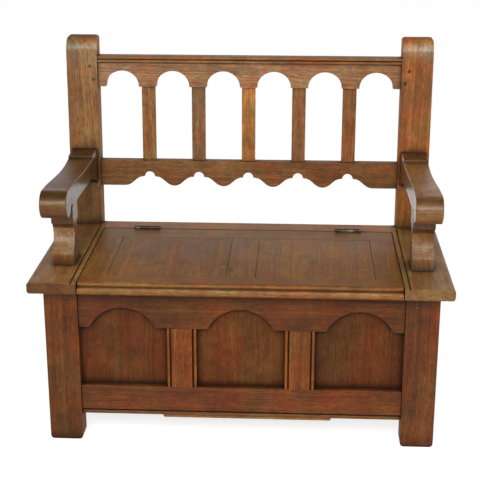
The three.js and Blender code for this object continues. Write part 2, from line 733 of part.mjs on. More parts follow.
// The middle rail's lower edge: a notch under each slat, and a double-curved lobe between two notches.
function midRail() {
  const outline = new THREE.Shape();
  const foot = midRailBottom + notchHeight;
  const shoulder = notchRadius + notchShoulder;
  outline.moveTo(-postInner, midRailTop);
  outline.lineTo(-postInner, midRailBottom);
  for (let slat = 0; slat < slatCount; slat++) {
    const middle = (slat - (slatCount - 1) / 2) * slatPitch;
    const lobe = slatPitch / 2;
    outline.lineTo(middle - lobe, midRailBottom);
    outline.bezierCurveTo(
      middle - lobe + lobeFoot,
      midRailBottom,
      middle - shoulder - lobeSlope,
      foot,
      middle - shoulder,
      foot,
    );
    outline.lineTo(middle - notchRadius, foot);
    outline.absarc(middle, foot, notchRadius, Math.PI, 0, true);
    outline.lineTo(middle + shoulder, foot);
    outline.bezierCurveTo(
      middle + shoulder + lobeSlope,
      foot,
      middle + lobe - lobeFoot,
      midRailBottom,
      middle + lobe,
      midRailBottom,
    );
  }
  outline.lineTo(postInner, midRailBottom);
  outline.lineTo(postInner, midRailTop);
  outline.closePath();
  const rail = leaning(prism(outline, "y", backFace, backFace + backRailThickness, 7));
  put("mid_rail", solid(rail), finishes.frame);
}

function backRailTenons(name, zs) {
  const inset = (backRailThickness - tenonThickness) / 2;
  const ys = [backFace + inset, backFace + backRailThickness - inset];
  for (const { hand, sign } of sides) {
    const xs = [sign * (postInner - tenonRoot), sign * (postInner + armTenonLength)];
    tenon(name, `back_post_${hand}`, xs, ys, zs, leaning);
  }
}

function slats() {
  const ys = [backFace + slatSetback, backFace + slatSetback + slatThickness];
  const tongueInset = (slatThickness - tenonThickness) / 2;
  const tenonYs = [ys[0] + tongueInset, ys[1] - tongueInset];
  for (let slat = 0; slat < slatCount; slat++) {
    const middle = (slat - (slatCount - 1) / 2) * slatPitch;
    const half = slatWidth / 2;
    const name = `back_slat_${slat + 1}`;
    const body = leaning(block([middle - half, middle + half], ys, [midRailTop, crestBottom]));
    put(name, solid(body), finishes.frame);
    const tenonXs = [middle - half + tongueInset, middle + half - tongueInset];
    const upper = [crestBottom - tenonRoot, crestBottom + stubTenon];
    const lower = [midRailTop - stubTenon, midRailTop + tenonRoot];
    tenon(name, "crest_rail", tenonXs, tenonYs, upper, leaning);
    tenon(name, "mid_rail", tenonXs, tenonYs, lower, leaning);
  }
}

// The face of a back post at a height above the seat.
function postFaceAt(z) {
  return postFront + leanSlope * (z - seatHeight);
}

// The side view of an arm: a level ledge at the post, a long dished top, a scroll and a bracket underneath.
function armSide() {
  const side = new THREE.Shape();
  const ledgeFront = postFaceAt(armTopAtPost) - armLedge;
  const slitAngle = Math.asin((scrollHeight - scrollSlit) / scrollRadius);
  const slitY = scrollSetback + scrollRadius * Math.cos(slitAngle);
  side.moveTo(postFaceAt(armBottomAtPost) - fit, armBottomAtPost);
  side.lineTo(postFaceAt(armTopAtPost) - fit, armTopAtPost);
  side.lineTo(ledgeFront, armTopAtPost - armLedgeFall);
  side.lineTo(ledgeFront - armLedgeFall / 2, armTopAtPost - armLedgeFall - armRiser);
  side.bezierCurveTo(
    ledgeFront - 2 * armLedge,
    armTopAtPost - armLedgeFall - 3 * armRiser,
    scrollSetback + 3.5 * scrollRadius,
    scrollHeight + scrollRadius,
    scrollSetback,
    scrollHeight + scrollRadius,
  );
  side.absarc(scrollSetback, scrollHeight, scrollRadius, Math.PI / 2, 2 * Math.PI - slitAngle);
  side.lineTo(slitY + (supportBlockFront - slitY) / 2, scrollSlit);
  side.lineTo(supportBlockFront - supportLip, supportTop + fit);
  side.lineTo(supportBlockFront + supportBlockDepth + supportLip, supportTop + fit);
  side.lineTo(postFaceAt(armBottomAtPost) - armBracket, armUnderside);
  side.quadraticCurveTo(
    postFaceAt(armBottomAtPost) - armBracket / 3,
    armUnderside,
    postFaceAt(armBottomAtPost) - fit,
    armBottomAtPost,
  );
  return side;
}

// The arm seen from above: widest at the post and the scroll, a little waisted between them.
function armPlan(middle) {
  const back = postFaceAt(armTopAtPost) + armLedge;
  const front = scrollSetback - scrollRadius;
  const waistBack = postFaceAt(armTopAtPost) - 2 * armLedge;
  const waistFront = scrollSetback + 3 * scrollRadius;
  const edge = (way) => [
    new THREE.Vector2(middle + (way * armWidth) / 2, postFaceAt(armTopAtPost)),
    new THREE.Vector2(middle + (way * armWaist) / 2, waistBack),
    new THREE.Vector2(middle + (way * armWaist) / 2, waistFront),
    new THREE.Vector2(middle + (way * scrollWidth) / 2, front - scrollRadius),
  ];
  const plan = new THREE.Shape();
  plan.moveTo(middle - armWidth / 2, back);
  plan.lineTo(middle - armWidth / 2, postFaceAt(armTopAtPost));
  plan.splineThru(edge(-1).slice(1));
  plan.lineTo(middle + scrollWidth / 2, front - scrollRadius);
  plan.splineThru(edge(1).reverse().slice(1));
  plan.lineTo(middle + armWidth / 2, back);
  plan.closePath();
  return plan;
}

function arm({ hand, sign }) {
  const middle = sign * postMiddle;
  const profile = prism(armSide(), "x", middle - armWidth, middle + armWidth, 12);
  const plan = prism(armPlan(middle), "z", armBottomAtPost - armRiser, backHeight, 3);
  const name = `arm_${hand}`;
  put(name, solid(profile).intersect(solid(plan)), finishes.arm);
  const xs = [middle - armTenonWidth / 2, middle + armTenonWidth / 2];
  const centre = (armTopAtPost + armBottomAtPost) / 2;
  const zs = [centre - armTenonHeight / 2, centre + armTenonHeight / 2];
  const ys = [postFaceAt(zs[0]) - 2 * tenonRoot, postFaceAt(zs[0]) + armTenonLength];
  tenon(name, `back_post_${hand}`, xs, ys, zs);
}

// An arm support: a foot, a neck coved at front and back, and a block under the arm.
function armSupport({ hand, sign }) {
  const middle = sign * postMiddle;
  const footTop = seatHeight + supportFootHeight;
  const blockBottom = supportTop - supportBlockHeight;
  const footBack = supportFootFront + supportFootDepth;
  const blockBack = supportBlockFront + supportBlockDepth;
  const neckTopFront = supportBlockFront + supportLip;
  const neckTopBack = blockBack - supportLip;
  const neckBack = supportNeckFront + supportNeckDepth;
  const neckMiddle = (footTop + blockBottom) / 2;
  const side = new THREE.Shape();
  side.moveTo(supportFootFront, seatHeight);
  side.lineTo(footBack, seatHeight);
  side.lineTo(footBack, footTop);
  side.quadraticCurveTo(2 * neckBack - (footBack + neckTopBack) / 2, neckMiddle, neckTopBack, blockBottom);
  side.lineTo(neckTopFront, blockBottom);
  side.quadraticCurveTo(
    2 * supportNeckFront - (supportFootFront + neckTopFront) / 2,
    neckMiddle,
    supportFootFront,
    footTop,
  );
  side.closePath();
  const half = supportWidth / 2;
  const shaft = solid(prism(side, "x", middle - half, middle + half));
  const top = solid(
    block(
      [middle - supportBlockWidth / 2, middle + supportBlockWidth / 2],
      [supportBlockFront, blockBack],
      [blockBottom, supportTop],
    ),
  );
  const name = `arm_support_${hand}`;
  put(name, shaft.add(top), finishes.arm);
  const xs = [middle - supportTenon / 2, middle + supportTenon / 2];
  const centre = supportBlockFront + supportBlockDepth / 2;
  const ys = [centre - supportTenon / 2, centre + supportTenon / 2];
  tenon(name, `arm_${hand}`, xs, ys, [supportTop - tenonRoot, supportTop + stubTenon]);
  tenon(name, `seat_end_board_${hand}`, xs, ys, [seatHeight - stubTenon, seatHeight + tenonRoot]);
}

// Oak pegs through the front of each leg hold the tenons of the front rails: two to a tenon, staggered.
function legPegs({ hand, sign }) {
  const near = legInner + pegNear;
  const far = legInner + pegFar;
  const places = [
    { host: "front_arched_rail", x: far, z: railTop - pegBelowSeat },
    { host: "front_arched_rail", x: near, z: topRailBottom + pegAboveRail },
    { host: "front_bottom_rail", x: near, z: bottomRailTop - pegBelowRail },
    { host: "front_bottom_rail", x: far, z: floorClearance + pegAboveFloor },
  ];
  for (const [index, { host, x, z }] of places.entries()) {
    const centre = [sign * x, z];
    const name = `leg_peg_${hand}_${index + 1}`;
    put(name, solid(bar("y", pegRadius, -pegProud, pegLength, centre, 14)), finishes.frame);
    const hole = solid(bar("y", pegRadius + fit, -2 * pegProud, pegLength + fit, centre, 14));
    cutFrom(`front_leg_${hand}`, hole);
    cutFrom(host, hole);
  }
}

sides.forEach(frontLeg);
sides.forEach(backPost);
frontArchedRail();
frontBottomRail();
sides.forEach(frontMuntin);
frontPanels();
sides.forEach(boxEnd);
boxBack();
boxFloor();
sides.forEach(seatEndBoard);
seatBackStrip();
lidFront();
lidFrame();
sides.forEach(lidPanel);
sides.forEach(hinge);
crestRail();
midRail();
backRailTenons("crest_rail", [crestBottom + tenonShoulder, crestTop - tenonShoulder]);
backRailTenons("mid_rail", [midRailBottom + tenonShoulder, midRailTop - tenonShoulder]);
slats();
sides.forEach(arm);
sides.forEach(armSupport);
sides.forEach(legPegs);

// Each piece becomes a mesh. The group sets the bench's origin under the middle of its bounding box.
const settle = new THREE.Group();
for (const [name, { body, finish }] of pieces) {
  const { vertProperties, triVerts } = body.getMesh();
  const geometry = new THREE.BufferGeometry();
  geometry.setAttribute("position", new THREE.BufferAttribute(vertProperties, 3));
  geometry.setIndex(new THREE.BufferAttribute(triVerts, 1));
  geometry.computeVertexNormals();
  const mesh = new THREE.Mesh(geometry, finish);
  mesh.name = name;
  settle.add(mesh);
}
settle.position.y = -new THREE.Box3().setFromObject(settle).getCenter(new THREE.Vector3()).y;

export default settle;
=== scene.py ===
"""An old oak settle bench: worn, pegged and waxed boards with rusty hinges, on a pale floor."""

import json
import math
import random
from types import SimpleNamespace

import bmesh
import bpy
from mathutils import Matrix, Vector
from mathutils.bvhtree import BVHTree

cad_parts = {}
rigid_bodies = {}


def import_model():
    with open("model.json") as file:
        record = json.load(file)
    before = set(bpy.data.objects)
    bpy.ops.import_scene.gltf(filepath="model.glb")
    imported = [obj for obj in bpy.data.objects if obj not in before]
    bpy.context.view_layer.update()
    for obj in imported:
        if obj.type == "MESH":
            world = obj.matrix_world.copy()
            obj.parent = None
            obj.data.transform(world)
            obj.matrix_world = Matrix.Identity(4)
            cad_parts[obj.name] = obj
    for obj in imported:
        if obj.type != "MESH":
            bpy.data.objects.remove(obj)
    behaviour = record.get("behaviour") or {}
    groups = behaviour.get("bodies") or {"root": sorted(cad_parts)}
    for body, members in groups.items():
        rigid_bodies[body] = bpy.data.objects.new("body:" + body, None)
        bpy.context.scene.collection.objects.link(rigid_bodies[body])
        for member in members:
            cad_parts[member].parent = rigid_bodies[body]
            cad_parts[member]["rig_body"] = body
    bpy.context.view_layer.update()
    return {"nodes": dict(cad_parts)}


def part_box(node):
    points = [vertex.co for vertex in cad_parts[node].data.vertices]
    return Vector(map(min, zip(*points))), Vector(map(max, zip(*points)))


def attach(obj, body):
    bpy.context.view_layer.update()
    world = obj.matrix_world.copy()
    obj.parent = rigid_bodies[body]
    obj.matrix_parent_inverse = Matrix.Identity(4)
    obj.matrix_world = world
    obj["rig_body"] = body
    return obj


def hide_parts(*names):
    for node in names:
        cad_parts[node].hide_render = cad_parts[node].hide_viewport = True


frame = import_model()
NODES = frame["nodes"]
BOXES = {node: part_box(node) for node in NODES}
MM = 0.001
X, Y, Z = range(3)

# The bench's own Y starts at the front of the legs, which stands here on the frame's Y.
LEG_FACE = BOXES["front_leg_left"][0].y


def at(x, y, z):
    """A point given in the bench's own millimetres, in the frame's metres."""
    return Vector((x * MM, y * MM + LEG_FACE, z * MM))


def in_bench(point):
    """A point given in the frame's metres, in the bench's own millimetres."""
    return Vector((point.x / MM, (point.y - LEG_FACE) / MM, point.z / MM))


def corners(node):
    """A node's lowest and highest corner, in the bench's own millimetres."""
    return tuple(in_bench(corner) for corner in BOXES[node])


SEAT_TOP = corners("seat_end_board_left")[1].z
LEAN = 21 / 527  # how far the back leans for each millimetre above the seat
LEG_INNER, LEG_OUTER = (corner.x for corner in corners("front_leg_right"))
POST_FACE = corners("back_post_left")[0].y
POST_TOP = corners("back_post_left")[1].z
RAIL_FACE = corners("front_arched_rail")[0].y
RAIL_TOP = corners("front_arched_rail")[1].z
HINGE_LINE = sum(corner.y for corner in corners("hinge_pin_left")) / 2


# Camera and lamps, in metres, radians and watts

# The camera is fitted to the photograph.
CAMERA_AT = (0.138979, -2.957119, 1.486008)
CAMERA_YAW = -0.051
CAMERA_PITCH = -0.325
FOCAL_PIXELS = 1174.539
IMAGE_PIXELS = 480
SENSOR = 36.0  # millimetres across

# Each lamp's place, what it faces, its width and height, and its power.
LAMPS = {
    "key": ((-0.2, -2.9, 2.06), (0, 0, 0.6), (2.3, 1.25), 98),
    "fill": ((2.0, -2.2, 1.9), (0, 0, 0.5), (1.6, 1.6), 14),
}


def add_camera():
    data = bpy.data.cameras.new("camera")
    data.sensor_width = SENSOR
    data.lens = SENSOR * FOCAL_PIXELS / IMAGE_PIXELS
    camera = bpy.data.objects.new("camera", data)
    ahead = Vector((
        math.sin(CAMERA_YAW) * math.cos(CAMERA_PITCH),
        math.cos(CAMERA_YAW) * math.cos(CAMERA_PITCH),
        math.sin(CAMERA_PITCH),
    ))
    camera.location = CAMERA_AT
    camera.rotation_euler = ahead.to_track_quat("-Z", "Y").to_euler()
    bpy.context.scene.collection.objects.link(camera)
    bpy.context.scene.camera = camera


def add_lamp(name, place, target, size, power):
    data = bpy.data.lights.new(name, "AREA")
    data.shape = "RECTANGLE"
    data.size, data.size_y = size
    data.energy = power
    lamp = bpy.data.objects.new(name, data)
    lamp.location = place
    lamp.rotation_euler = (Vector(target) - Vector(place)).to_track_quat("-Z", "Y").to_euler()
    bpy.context.scene.collection.objects.link(lamp)


# Node trees


class Tree:
    """A node tree with short calls for the nodes that the finishes use."""

    def __init__(self, tree):
        self.tree = tree
        tree.nodes.clear()

    def node(self, kind, settings=(), **inputs):
        made = self.tree.nodes.new(kind)
        for key, value in dict(settings).items():
            setattr(made, key, value)
        for key, value in inputs.items():
            self.feed(made, key, value)
        return made

    def feed(self, node, key, value):
        """Links or sets an input, which is given by its name, or by its number after an i."""
        socket = node.inputs[int(key[1:])] if key[0] == "i" and key[1:].isdigit() else node.inputs[key]
        if isinstance(value, bpy.types.NodeSocket):
            self.tree.links.new(value, socket)
        else:
            socket.default_value = value

    def attribute(self, name):
        return self.node("ShaderNodeAttribute", {"attribute_name": name}).outputs

    def math(self, operation, a, b=0.0, c=0.0, clamp=False):
        settings = {"operation": operation, "use_clamp": clamp}
        return self.node("ShaderNodeMath", settings, i0=a, i1=b, i2=c).outputs[0]

    def multiplied(self, first, *others):
        for other in others:
            first = self.math("MULTIPLY", first, other)
        return first

    def vector(self, operation, a, b=(0, 0, 0)):
        return self.node("ShaderNodeVectorMath", {"operation": operation}, i0=a, i1=b).outputs

    def scaled(self, place, by):
        return self.vector("MULTIPLY", place, by)["Vector"]

    def sway(self, value, wave, share):
        """A value moved down and up by a share of a wave that runs from 0 to 1."""
        return self.math("MULTIPLY_ADD", self.math("SUBTRACT", wave, 0.5), share, value)

    def noise(self, place, waves=None, detail=2.0, roughness=0.5):
        """Noise over a place, with about so many waves to the metre along each of its axes."""
        made = self.node("ShaderNodeTexNoise", Scale=1.0, Detail=detail, Roughness=roughness)
        self.feed(made, "Vector", self.scaled(place, waves) if waves else place)
        return made.outputs["Fac"]

    def ramp(self, value, *stops):
        """Maps a value through (place, grey or colour) stops."""
        made = self.node("ShaderNodeValToRGB", i0=value)
        band = made.color_ramp
        while len(band.elements) < len(stops):
            band.elements.new(0.5)
        for element, (place, colour) in zip(band.elements, stops):
            element.position = place
            grey = isinstance(colour, (int, float))
            element.color = (colour, colour, colour, 1) if grey else (*colour, 1)
        return made.outputs[0]

    def mix(self, share, a, b, blend="MIX"):
        made = self.node("ShaderNodeMix", {"data_type": "RGBA", "blend_type": blend})
        for index, value in ((0, share), (6, a), (7, b)):
            if isinstance(value, bpy.types.NodeSocket):
                self.tree.links.new(value, made.inputs[index])
            elif index == 0:
                made.inputs[index].default_value = value
            else:
                made.inputs[index].default_value = (*value, 1)
        return made.outputs[2]


def linear(code):
    """A colour written as six hex digits, in linear light."""
    parts = [int(code[i:i + 2], 16) / 255 for i in (0, 2, 4)]
    return tuple(c / 12.92 if c <= 0.04045 else ((c + 0.055) / 1.055) ** 2.4 for c in parts)


def new_material(name):
    made = bpy.data.materials.new(name)
    made.use_nodes = True
    return made, Tree(made.node_tree)


# Oak

RINGS = 270  # growth rings in a metre
RING_BANDS = 115  # bands of broader and narrower rings in a metre
PORE = linear("2b160b")
DASH = linear("2f190c")
RUBBED = linear("b57a42")
# The dark colour of the grime and painted shade in nooks.
GRIME_AND_SHADE = linear("1c0f08")
EVEN = (1, 1, 1)

# Marks on the top of the seat: place and radius in the bench's own millimetres, colour and strength.
SEAT_MARKS = (
    ((-27, 53), 9, "2a2018", 0.75),
    ((-30, 62), 5, "2a2018", 0.6),
    ((-48, 74), 4, "b98b58", 0.6),
    ((-41, 74), 3, "b98b58", 0.5),
    ((305, 70), 2.6, "c79a60", 0.7),
    ((313, 70), 2.6, "c79a60", 0.7),
    ((321, 70), 2.6, "c79a60", 0.6),
    ((180, 120), 16, "3a2616", 0.35),
    ((-215, 96), 22, "3f2c22", 0.35),
    ((-150, 110), 18, "3f2c22", 0.3),
)


def oak(name, dark, middle, light, gloss, shine, streaks, patches, marks=()):
    """Waxed oak of three shades, from its roughness, specular level, and how streaky and patchy it is."""
    material, tree = new_material(name)
    figure = oak_figure(tree)
    tint = tree.attribute("tint")
    polish = tree.attribute("polish")["Fac"]

    colour = oak_colour(tree, figure, (dark, middle, light), streaks, patches)
    colour = tree.mix(1.0, colour, tint["Color"], "MULTIPLY")
    colour = tree.mix(tree.math("MULTIPLY", figure.pores, 0.5), colour, PORE)
    colour = tree.mix(tree.math("MULTIPLY", figure.dashes, 0.34), colour, DASH)
    colour, dirt_and_shade = worn(tree, figure, colour, polish, tint["Alpha"])
    colour = marked(tree, figure, colour, marks)

    surface = tree.node("ShaderNodeBsdfPrincipled")
    tree.feed(surface, "Base Color", colour)
    tree.feed(surface, "Roughness", oak_roughness(tree, figure, gloss, dirt_and_shade, polish))
    tree.feed(surface, "Specular IOR Level", shine)
    tree.feed(surface, "Normal", oak_relief(tree, figure))
    tree.node("ShaderNodeOutputMaterial", Surface=surface.outputs[0])
    return material


def oak_figure(tree):
    """The rings, streaks and pores along each board's own grain, and the clouds through the whole bench."""
    grain = tree.attribute("grain")["Vector"]
    space = tree.node("ShaderNodeTexCoord").outputs["Object"]

    # Growth rings lie round the pith, bent a little along the board, some broad and some narrow.
    bend = tree.noise(grain, (2.0, 9, 9), detail=3)
    bent = tree.math("MULTIPLY_ADD", bend, 0.036, -0.018)
    from_pith = tree.vector("LENGTH", tree.scaled(grain, (0, 1, 1)))["Value"]
    radius = tree.math("ADD", from_pith, bent)
    ring = tree.math("FRACT", tree.math("MULTIPLY", radius, RINGS))
    early = tree.ramp(ring, (0.0, 0.2), (0.14, 1.0), (0.45, 0.35), (0.88, 0.0), (1.0, 0.2))
    years = tree.node("ShaderNodeCombineXYZ", X=tree.math("MULTIPLY", radius, RING_BANDS)).outputs[0]

    # Pores are fine dashes, most of them in the early wood of a ring.
    pores = tree.ramp(tree.noise(grain, (70, 1900, 1900), detail=1), (0.55, 0), (0.66, 1))
    return SimpleNamespace(
        grain=grain,
        space=space,
        early=early,
        bands=tree.noise(years, detail=3, roughness=0.6),
        broad=tree.noise(grain, (2.2, 26, 26), detail=3, roughness=0.55),
        narrow=tree.noise(grain, (11, 170, 170), detail=3, roughness=0.6),
        fine=tree.noise(grain, (60, 520, 520), detail=2, roughness=0.6),
        dashes=tree.ramp(tree.noise(grain, (48, 700, 700), detail=1), (0.58, 0), (0.66, 1)),
        pores=tree.math("MULTIPLY", pores, tree.math("MULTIPLY_ADD", early, 0.75, 0.25)),
        clouds=tree.noise(space, (5.5, 5.5, 5.5), detail=3, roughness=0.6),
        blotch=tree.noise(space, (26, 26, 26), detail=4, roughness=0.65),
    )


def oak_colour(tree, figure, shades, streaks, patches):
    """The wood's own colour, streaked from dark to light."""
    tone = tree.math("MULTIPLY_ADD", figure.broad, 0.5 * streaks, 0.5 - 0.25 * streaks)
    for wave, share in (
        (figure.narrow, 0.45 * streaks),
        (figure.fine, 0.62),
        (figure.bands, 0.9 * streaks),
        (figure.early, -0.12 * streaks),
        (figure.blotch, 0.5),
        (figure.clouds, 0.55),
    ):
        tone = tree.sway(tone, wave, share)
    dark, middle, light = (linear(shade) for shade in shades)
    colour = tree.ramp(tone, (0.12, dark), (0.48, middle), (0.86, light))

    # Old wax and light leave warm and cool drifts, and flecks and patches of rust and olive.
    drift = tree.noise(figure.grain, (3.2, 15, 15), detail=2)
    fleck = tree.noise(figure.grain, (26, 210, 210), detail=2, roughness=0.7)
    patch = tree.noise(figure.space, (13, 13, 9), detail=3, roughness=0.6)
    for share, hue in (
        (0.65, tree.ramp(drift, (0.35, (1.12, 0.93, 0.72)), (0.65, (0.92, 1.03, 1.12)))),
        (0.45, tree.ramp(fleck, (0.36, (1.2, 0.86, 0.78)), (0.5, EVEN), (0.64, (0.86, 1.06, 0.9)))),
        (patches, tree.ramp(patch, (0.38, (1.18, 0.86, 0.76)), (0.5, EVEN), (0.62, (0.86, 1.06, 0.95)))),
    ):
        colour = tree.mix(share, colour, hue, "MULTIPLY")
    return colour


def worn(tree, figure, colour, polish, dirt_and_shade_share):
    """The colour with rubbed arrises, painted shade in its recesses, and grime with painted shade where
    boards meet; and where that grime and shade lie.
    """
    shape = tree.node("ShaderNodeNewGeometry").outputs["Normal"]
    rounded = tree.node("ShaderNodeBevel", {"samples": 6}, Radius=2.2 * MM).outputs[0]
    sky = tree.node("ShaderNodeAmbientOcclusion", {"samples": 10}, Distance=18 * MM).outputs["AO"]
    painted_shade = tree.node("ShaderNodeAmbientOcclusion", {"samples": 8}, Distance=55 * MM).outputs["AO"]
    # Painted shade: the colour darkens wherever the wide occlusion finds the bench closed in.
    colour = tree.mix(1.0, colour, tree.ramp(painted_shade, (0.4, 0.42), (0.92, 1.0)), "MULTIPLY")

    edge = tree.ramp(tree.vector("DOT_PRODUCT", shape, rounded)["Value"], (0.80, 1.0), (0.985, 0.0))
    uneven = tree.ramp(figure.blotch, (0.38, 0.1), (0.62, 0.9))
    exposed = tree.ramp(sky, (0.55, 0.0), (0.85, 1.0))
    rubbed = tree.multiplied(edge, uneven, exposed, tree.math("MINIMUM", polish, 1.0))
    colour = tree.mix(tree.math("MULTIPLY", rubbed, 0.45), colour, RUBBED)

    # Grime and painted shade: a dark colour in the nooks that the near occlusion finds, times each corner's
    # share of it.
    nook_dirt_and_shade = tree.ramp(sky, (0.4, 1.0), (0.66, 0.42), (0.93, 0.0))
    dirt_and_shade = tree.math("MULTIPLY", nook_dirt_and_shade, tree.math("MULTIPLY_ADD", figure.blotch, 0.5, 0.65), clamp=True)
    dirt_and_shade = tree.math("MULTIPLY", dirt_and_shade, dirt_and_shade_share)
    return tree.mix(tree.math("MULTIPLY", dirt_and_shade, 0.92, clamp=True), colour, GRIME_AND_SHADE), dirt_and_shade


def marked(tree, figure, colour, marks):
    """The colour with the seat's marks on it, which have ragged edges."""
    for (x, y), size, shade, strength in marks:
        apart = tree.vector("DISTANCE", figure.space, at(x, y, SEAT_TOP))["Value"]
        ragged = tree.math("MULTIPLY_ADD", figure.blotch, 0.6 * size * MM, apart)
        near = tree.math("DIVIDE", ragged, 1.5 * size * MM)
        colour = tree.mix(tree.ramp(near, (0.5, strength), (1.0, 0.0)), colour, linear(shade))
    return colour


def oak_roughness(tree, figure, gloss, dirt_and_shade, polish):
    """Wax fills the grain unevenly, and pores, grimy and shaded nooks and places without polish are duller.
    """
    rough = tree.sway(gloss, figure.broad, 0.22)
    rough = tree.sway(rough, figure.blotch, 0.2)
    rough = tree.math("MULTIPLY_ADD", figure.pores, 0.2, rough)
    rough = tree.math("MULTIPLY_ADD", dirt_and_shade, 0.3, rough)
    return tree.math("MULTIPLY_ADD", tree.math("SUBTRACT", 1.0, polish), 0.16, rough, clamp=True)


def oak_relief(tree, figure):
    """A slow ripple along the grain, with fibres and sunken pores on it."""
    ripple = tree.noise(figure.grain, (9, 34, 34), detail=2)
    fibres = tree.math("MULTIPLY_ADD", figure.pores, -0.7, tree.math("MULTIPLY", figure.narrow, 0.5))
    fibres = tree.math("MULTIPLY_ADD", figure.early, -0.25, fibres)
    broad = tree.node("ShaderNodeBump", Strength=0.35, Distance=1.1 * MM, Height=ripple)
    fine = tree.node("ShaderNodeBump", Strength=0.6, Distance=0.28 * MM, Height=fibres)
    tree.feed(fine, "Normal", broad.outputs[0])
    return fine.outputs[0]


def iron(name):
    """Old black iron: pitted, rubbed bright in places and rusty in others."""
    material, tree = new_material(name)
    space = tree.node("ShaderNodeTexCoord").outputs["Object"]
    cloud = tree.noise(space, (32, 60, 60), detail=4, roughness=0.65)
    pits = tree.noise(space, (420, 420, 420), detail=3, roughness=0.6)
    bright, black, rust = linear("8a8c80"), linear("3a3633"), linear("5c3c26")
    colour = tree.ramp(cloud, (0.36, bright), (0.47, black), (0.56, black), (0.66, rust))
    rough = tree.math("MULTIPLY_ADD", pits, 0.3, 0.38)
    bump = tree.node("ShaderNodeBump", Strength=0.5, Distance=0.4 * MM, Height=pits)
    surface = tree.node("ShaderNodeBsdfPrincipled", Roughness=rough, Normal=bump.outputs[0])
    tree.feed(surface, "Base Color", colour)
    tree.feed(surface, "Metallic", 0.75)
    tree.node("ShaderNodeOutputMaterial", Surface=surface.outputs[0])
    return material


# Each oak has its dark, middle and light shade, roughness, specular level, streaks and patches.
FINISHES = {
    "frame_oak": oak("frame_oak", "46250f", "7a4b24", "a67139", 0.45, 0.16, 0.8, 0.62),
    "panel_oak": oak("panel_oak", "3c1f0d", "683819", "8a5228", 0.46, 0.1, 0.5, 0.72),
    "seat_oak": oak("seat_oak", "472b17", "714a2a", "987045", 0.36, 0.12, 0.7, 0.4, SEAT_MARKS),
    "arm_oak": oak("arm_oak", "42240f", "734724", "9f6c3c", 0.28, 0.26, 0.7, 0.45),
    "inside_oak": oak("inside_oak", "5c3f26", "85603c", "a98457", 0.65, 0.15, 1.0, 0.5),
    "hinge_iron": iron("hinge_iron"),
}


# Boards: what each is made of, and how its edges are worn


def finish_of(node):
    """The record's material slot of a CAD node."""
    if node.startswith("hinge"):
        return "hinge_iron"
    if node.startswith("arm"):
        return "arm_oak"
    if node.startswith(("seat", "lid")):
        return "seat_oak"
    if "panel" in node:
        return "panel_oak"
    if node in ("box_floor", "floor_batten"):
        return "inside_oak"
    return "frame_oak"


def grain_of(node):
    """The axis that a board's grain runs along."""
    if node.startswith(("arm_support", "back_post", "back_slat", "front_leg")):
        return Z
    if node.startswith(("arm", "seat_end", "side_top", "side_bottom")):
        return Y
    if node.startswith(("lid_stile", "lid_muntin", "lid_panel")):
        return Y
    if "muntin" in node or "panel" in node:
        return Z
    return X


def entry(table, node):
    """What a table of name starts says of a node: its first row that fits."""
    return next(value for start, value in table if node.startswith(start))


# How far each kind of board's free edges are worn round, in millimetres.
ARRIS = [
    ("front_leg", 3.2),
    ("back_post", 4.0),
    ("arm_support", 2.4),
    ("arm", 2.6),
    ("crest_rail", 1.6),
    ("mid_rail", 1.8),
    ("back_slat", 1.6),
    ("front_arched_rail", 1.8),
    ("front_bottom_rail", 2.2),
    ("front_muntin", 0.8),
    ("seat_end_board", 1.6),
    ("seat_back_strip", 2.2),
    ("lid_front_rail", 0.9),
    ("lid", 1.0),
    ("hinge_pin", 0.5),
    ("hinge", 0.35),
    ("", 1.4),
]
JOINT_ARRIS = 0.8
SHARP = math.radians(34)

# An arm's top steps up to a ledge at the post, over a low riser whose edges are crisp. They lie behind these
# fronts and above this foot, in the bench's own millimetres.
RISER_FRONT = 348
LEDGE_FRONT = 352
RISER_FOOT = 650
RISER_ARRIS = 0.4  # share of an arm's worn width

# The front joint between the bottom rail and the floor has worn open to this depth.
FLOOR_JOINT = 12


def crispness(node, edge):
    """How much of its worn width a free edge takes: the low riser on an arm keeps crisp edges."""
    a, b = (vertex.co for vertex in edge.verts)
    across = abs(a.x - b.x) > 0.9 * (a - b).length
    on_riser = min(a.y, b.y) > at(0, RISER_FRONT, 0).y and a.z > RISER_FOOT * MM
    return RISER_ARRIS if node in ("arm_left", "arm_right") and across and on_riser else 1.0


def beside_floor(node, edge):
    """Whether an edge lies along the front joint between the bottom rail and the floor."""
    level = BOXES["front_bottom_rail"][0].z
    near = all(abs(v.co.z - level) < MM and v.co.y < LEG_FACE + FLOOR_JOINT * MM for v in edge.verts)
    return node in ("front_bottom_rail", "box_floor") and near


# An edge is tried at these shares of its length, this far out from it, and in these directions.
TRY_AT = (0.12, 0.5, 0.88)
TRY_OUT = 0.7 * MM
CLEAR_VIEW = 20 * MM  # it is seen from outside if nothing stands nearer than this
JOINT_REACH = 1.6 * MM  # it lies along a joint if another piece is nearer than this
BOX_MARGIN = 2 * MM  # pieces whose boxes are further off aren't tried
PROBES = [
    Vector((math.cos(turn) * math.cos(rise), math.sin(turn) * math.cos(rise), math.sin(rise)))
    for rise in (-1.2, -0.7, -0.25, 0.25, 0.7, 1.2)
    for turn in (0.3, 1.1, 1.9, 2.7, 3.5, 4.3, 5.1, 5.9)
]


def edge_kind(node, edge, trees, everything):
    """Tells a free arris from an edge along a joint, and both from an edge that nobody sees."""
    outward = (edge.link_faces[0].normal + edge.link_faces[1].normal).normalized()
    a, b = (vertex.co for vertex in edge.verts)
    votes = []
    for share in TRY_AT:
        point = a.lerp(b, share) + outward * TRY_OUT
        if not sees_out(point, outward, everything):
            votes.append("hidden")
        elif near_other(point, node, trees):
            votes.append("joint")
        else:
            votes.append("free")
    return max(("joint", "free", "hidden"), key=votes.count)


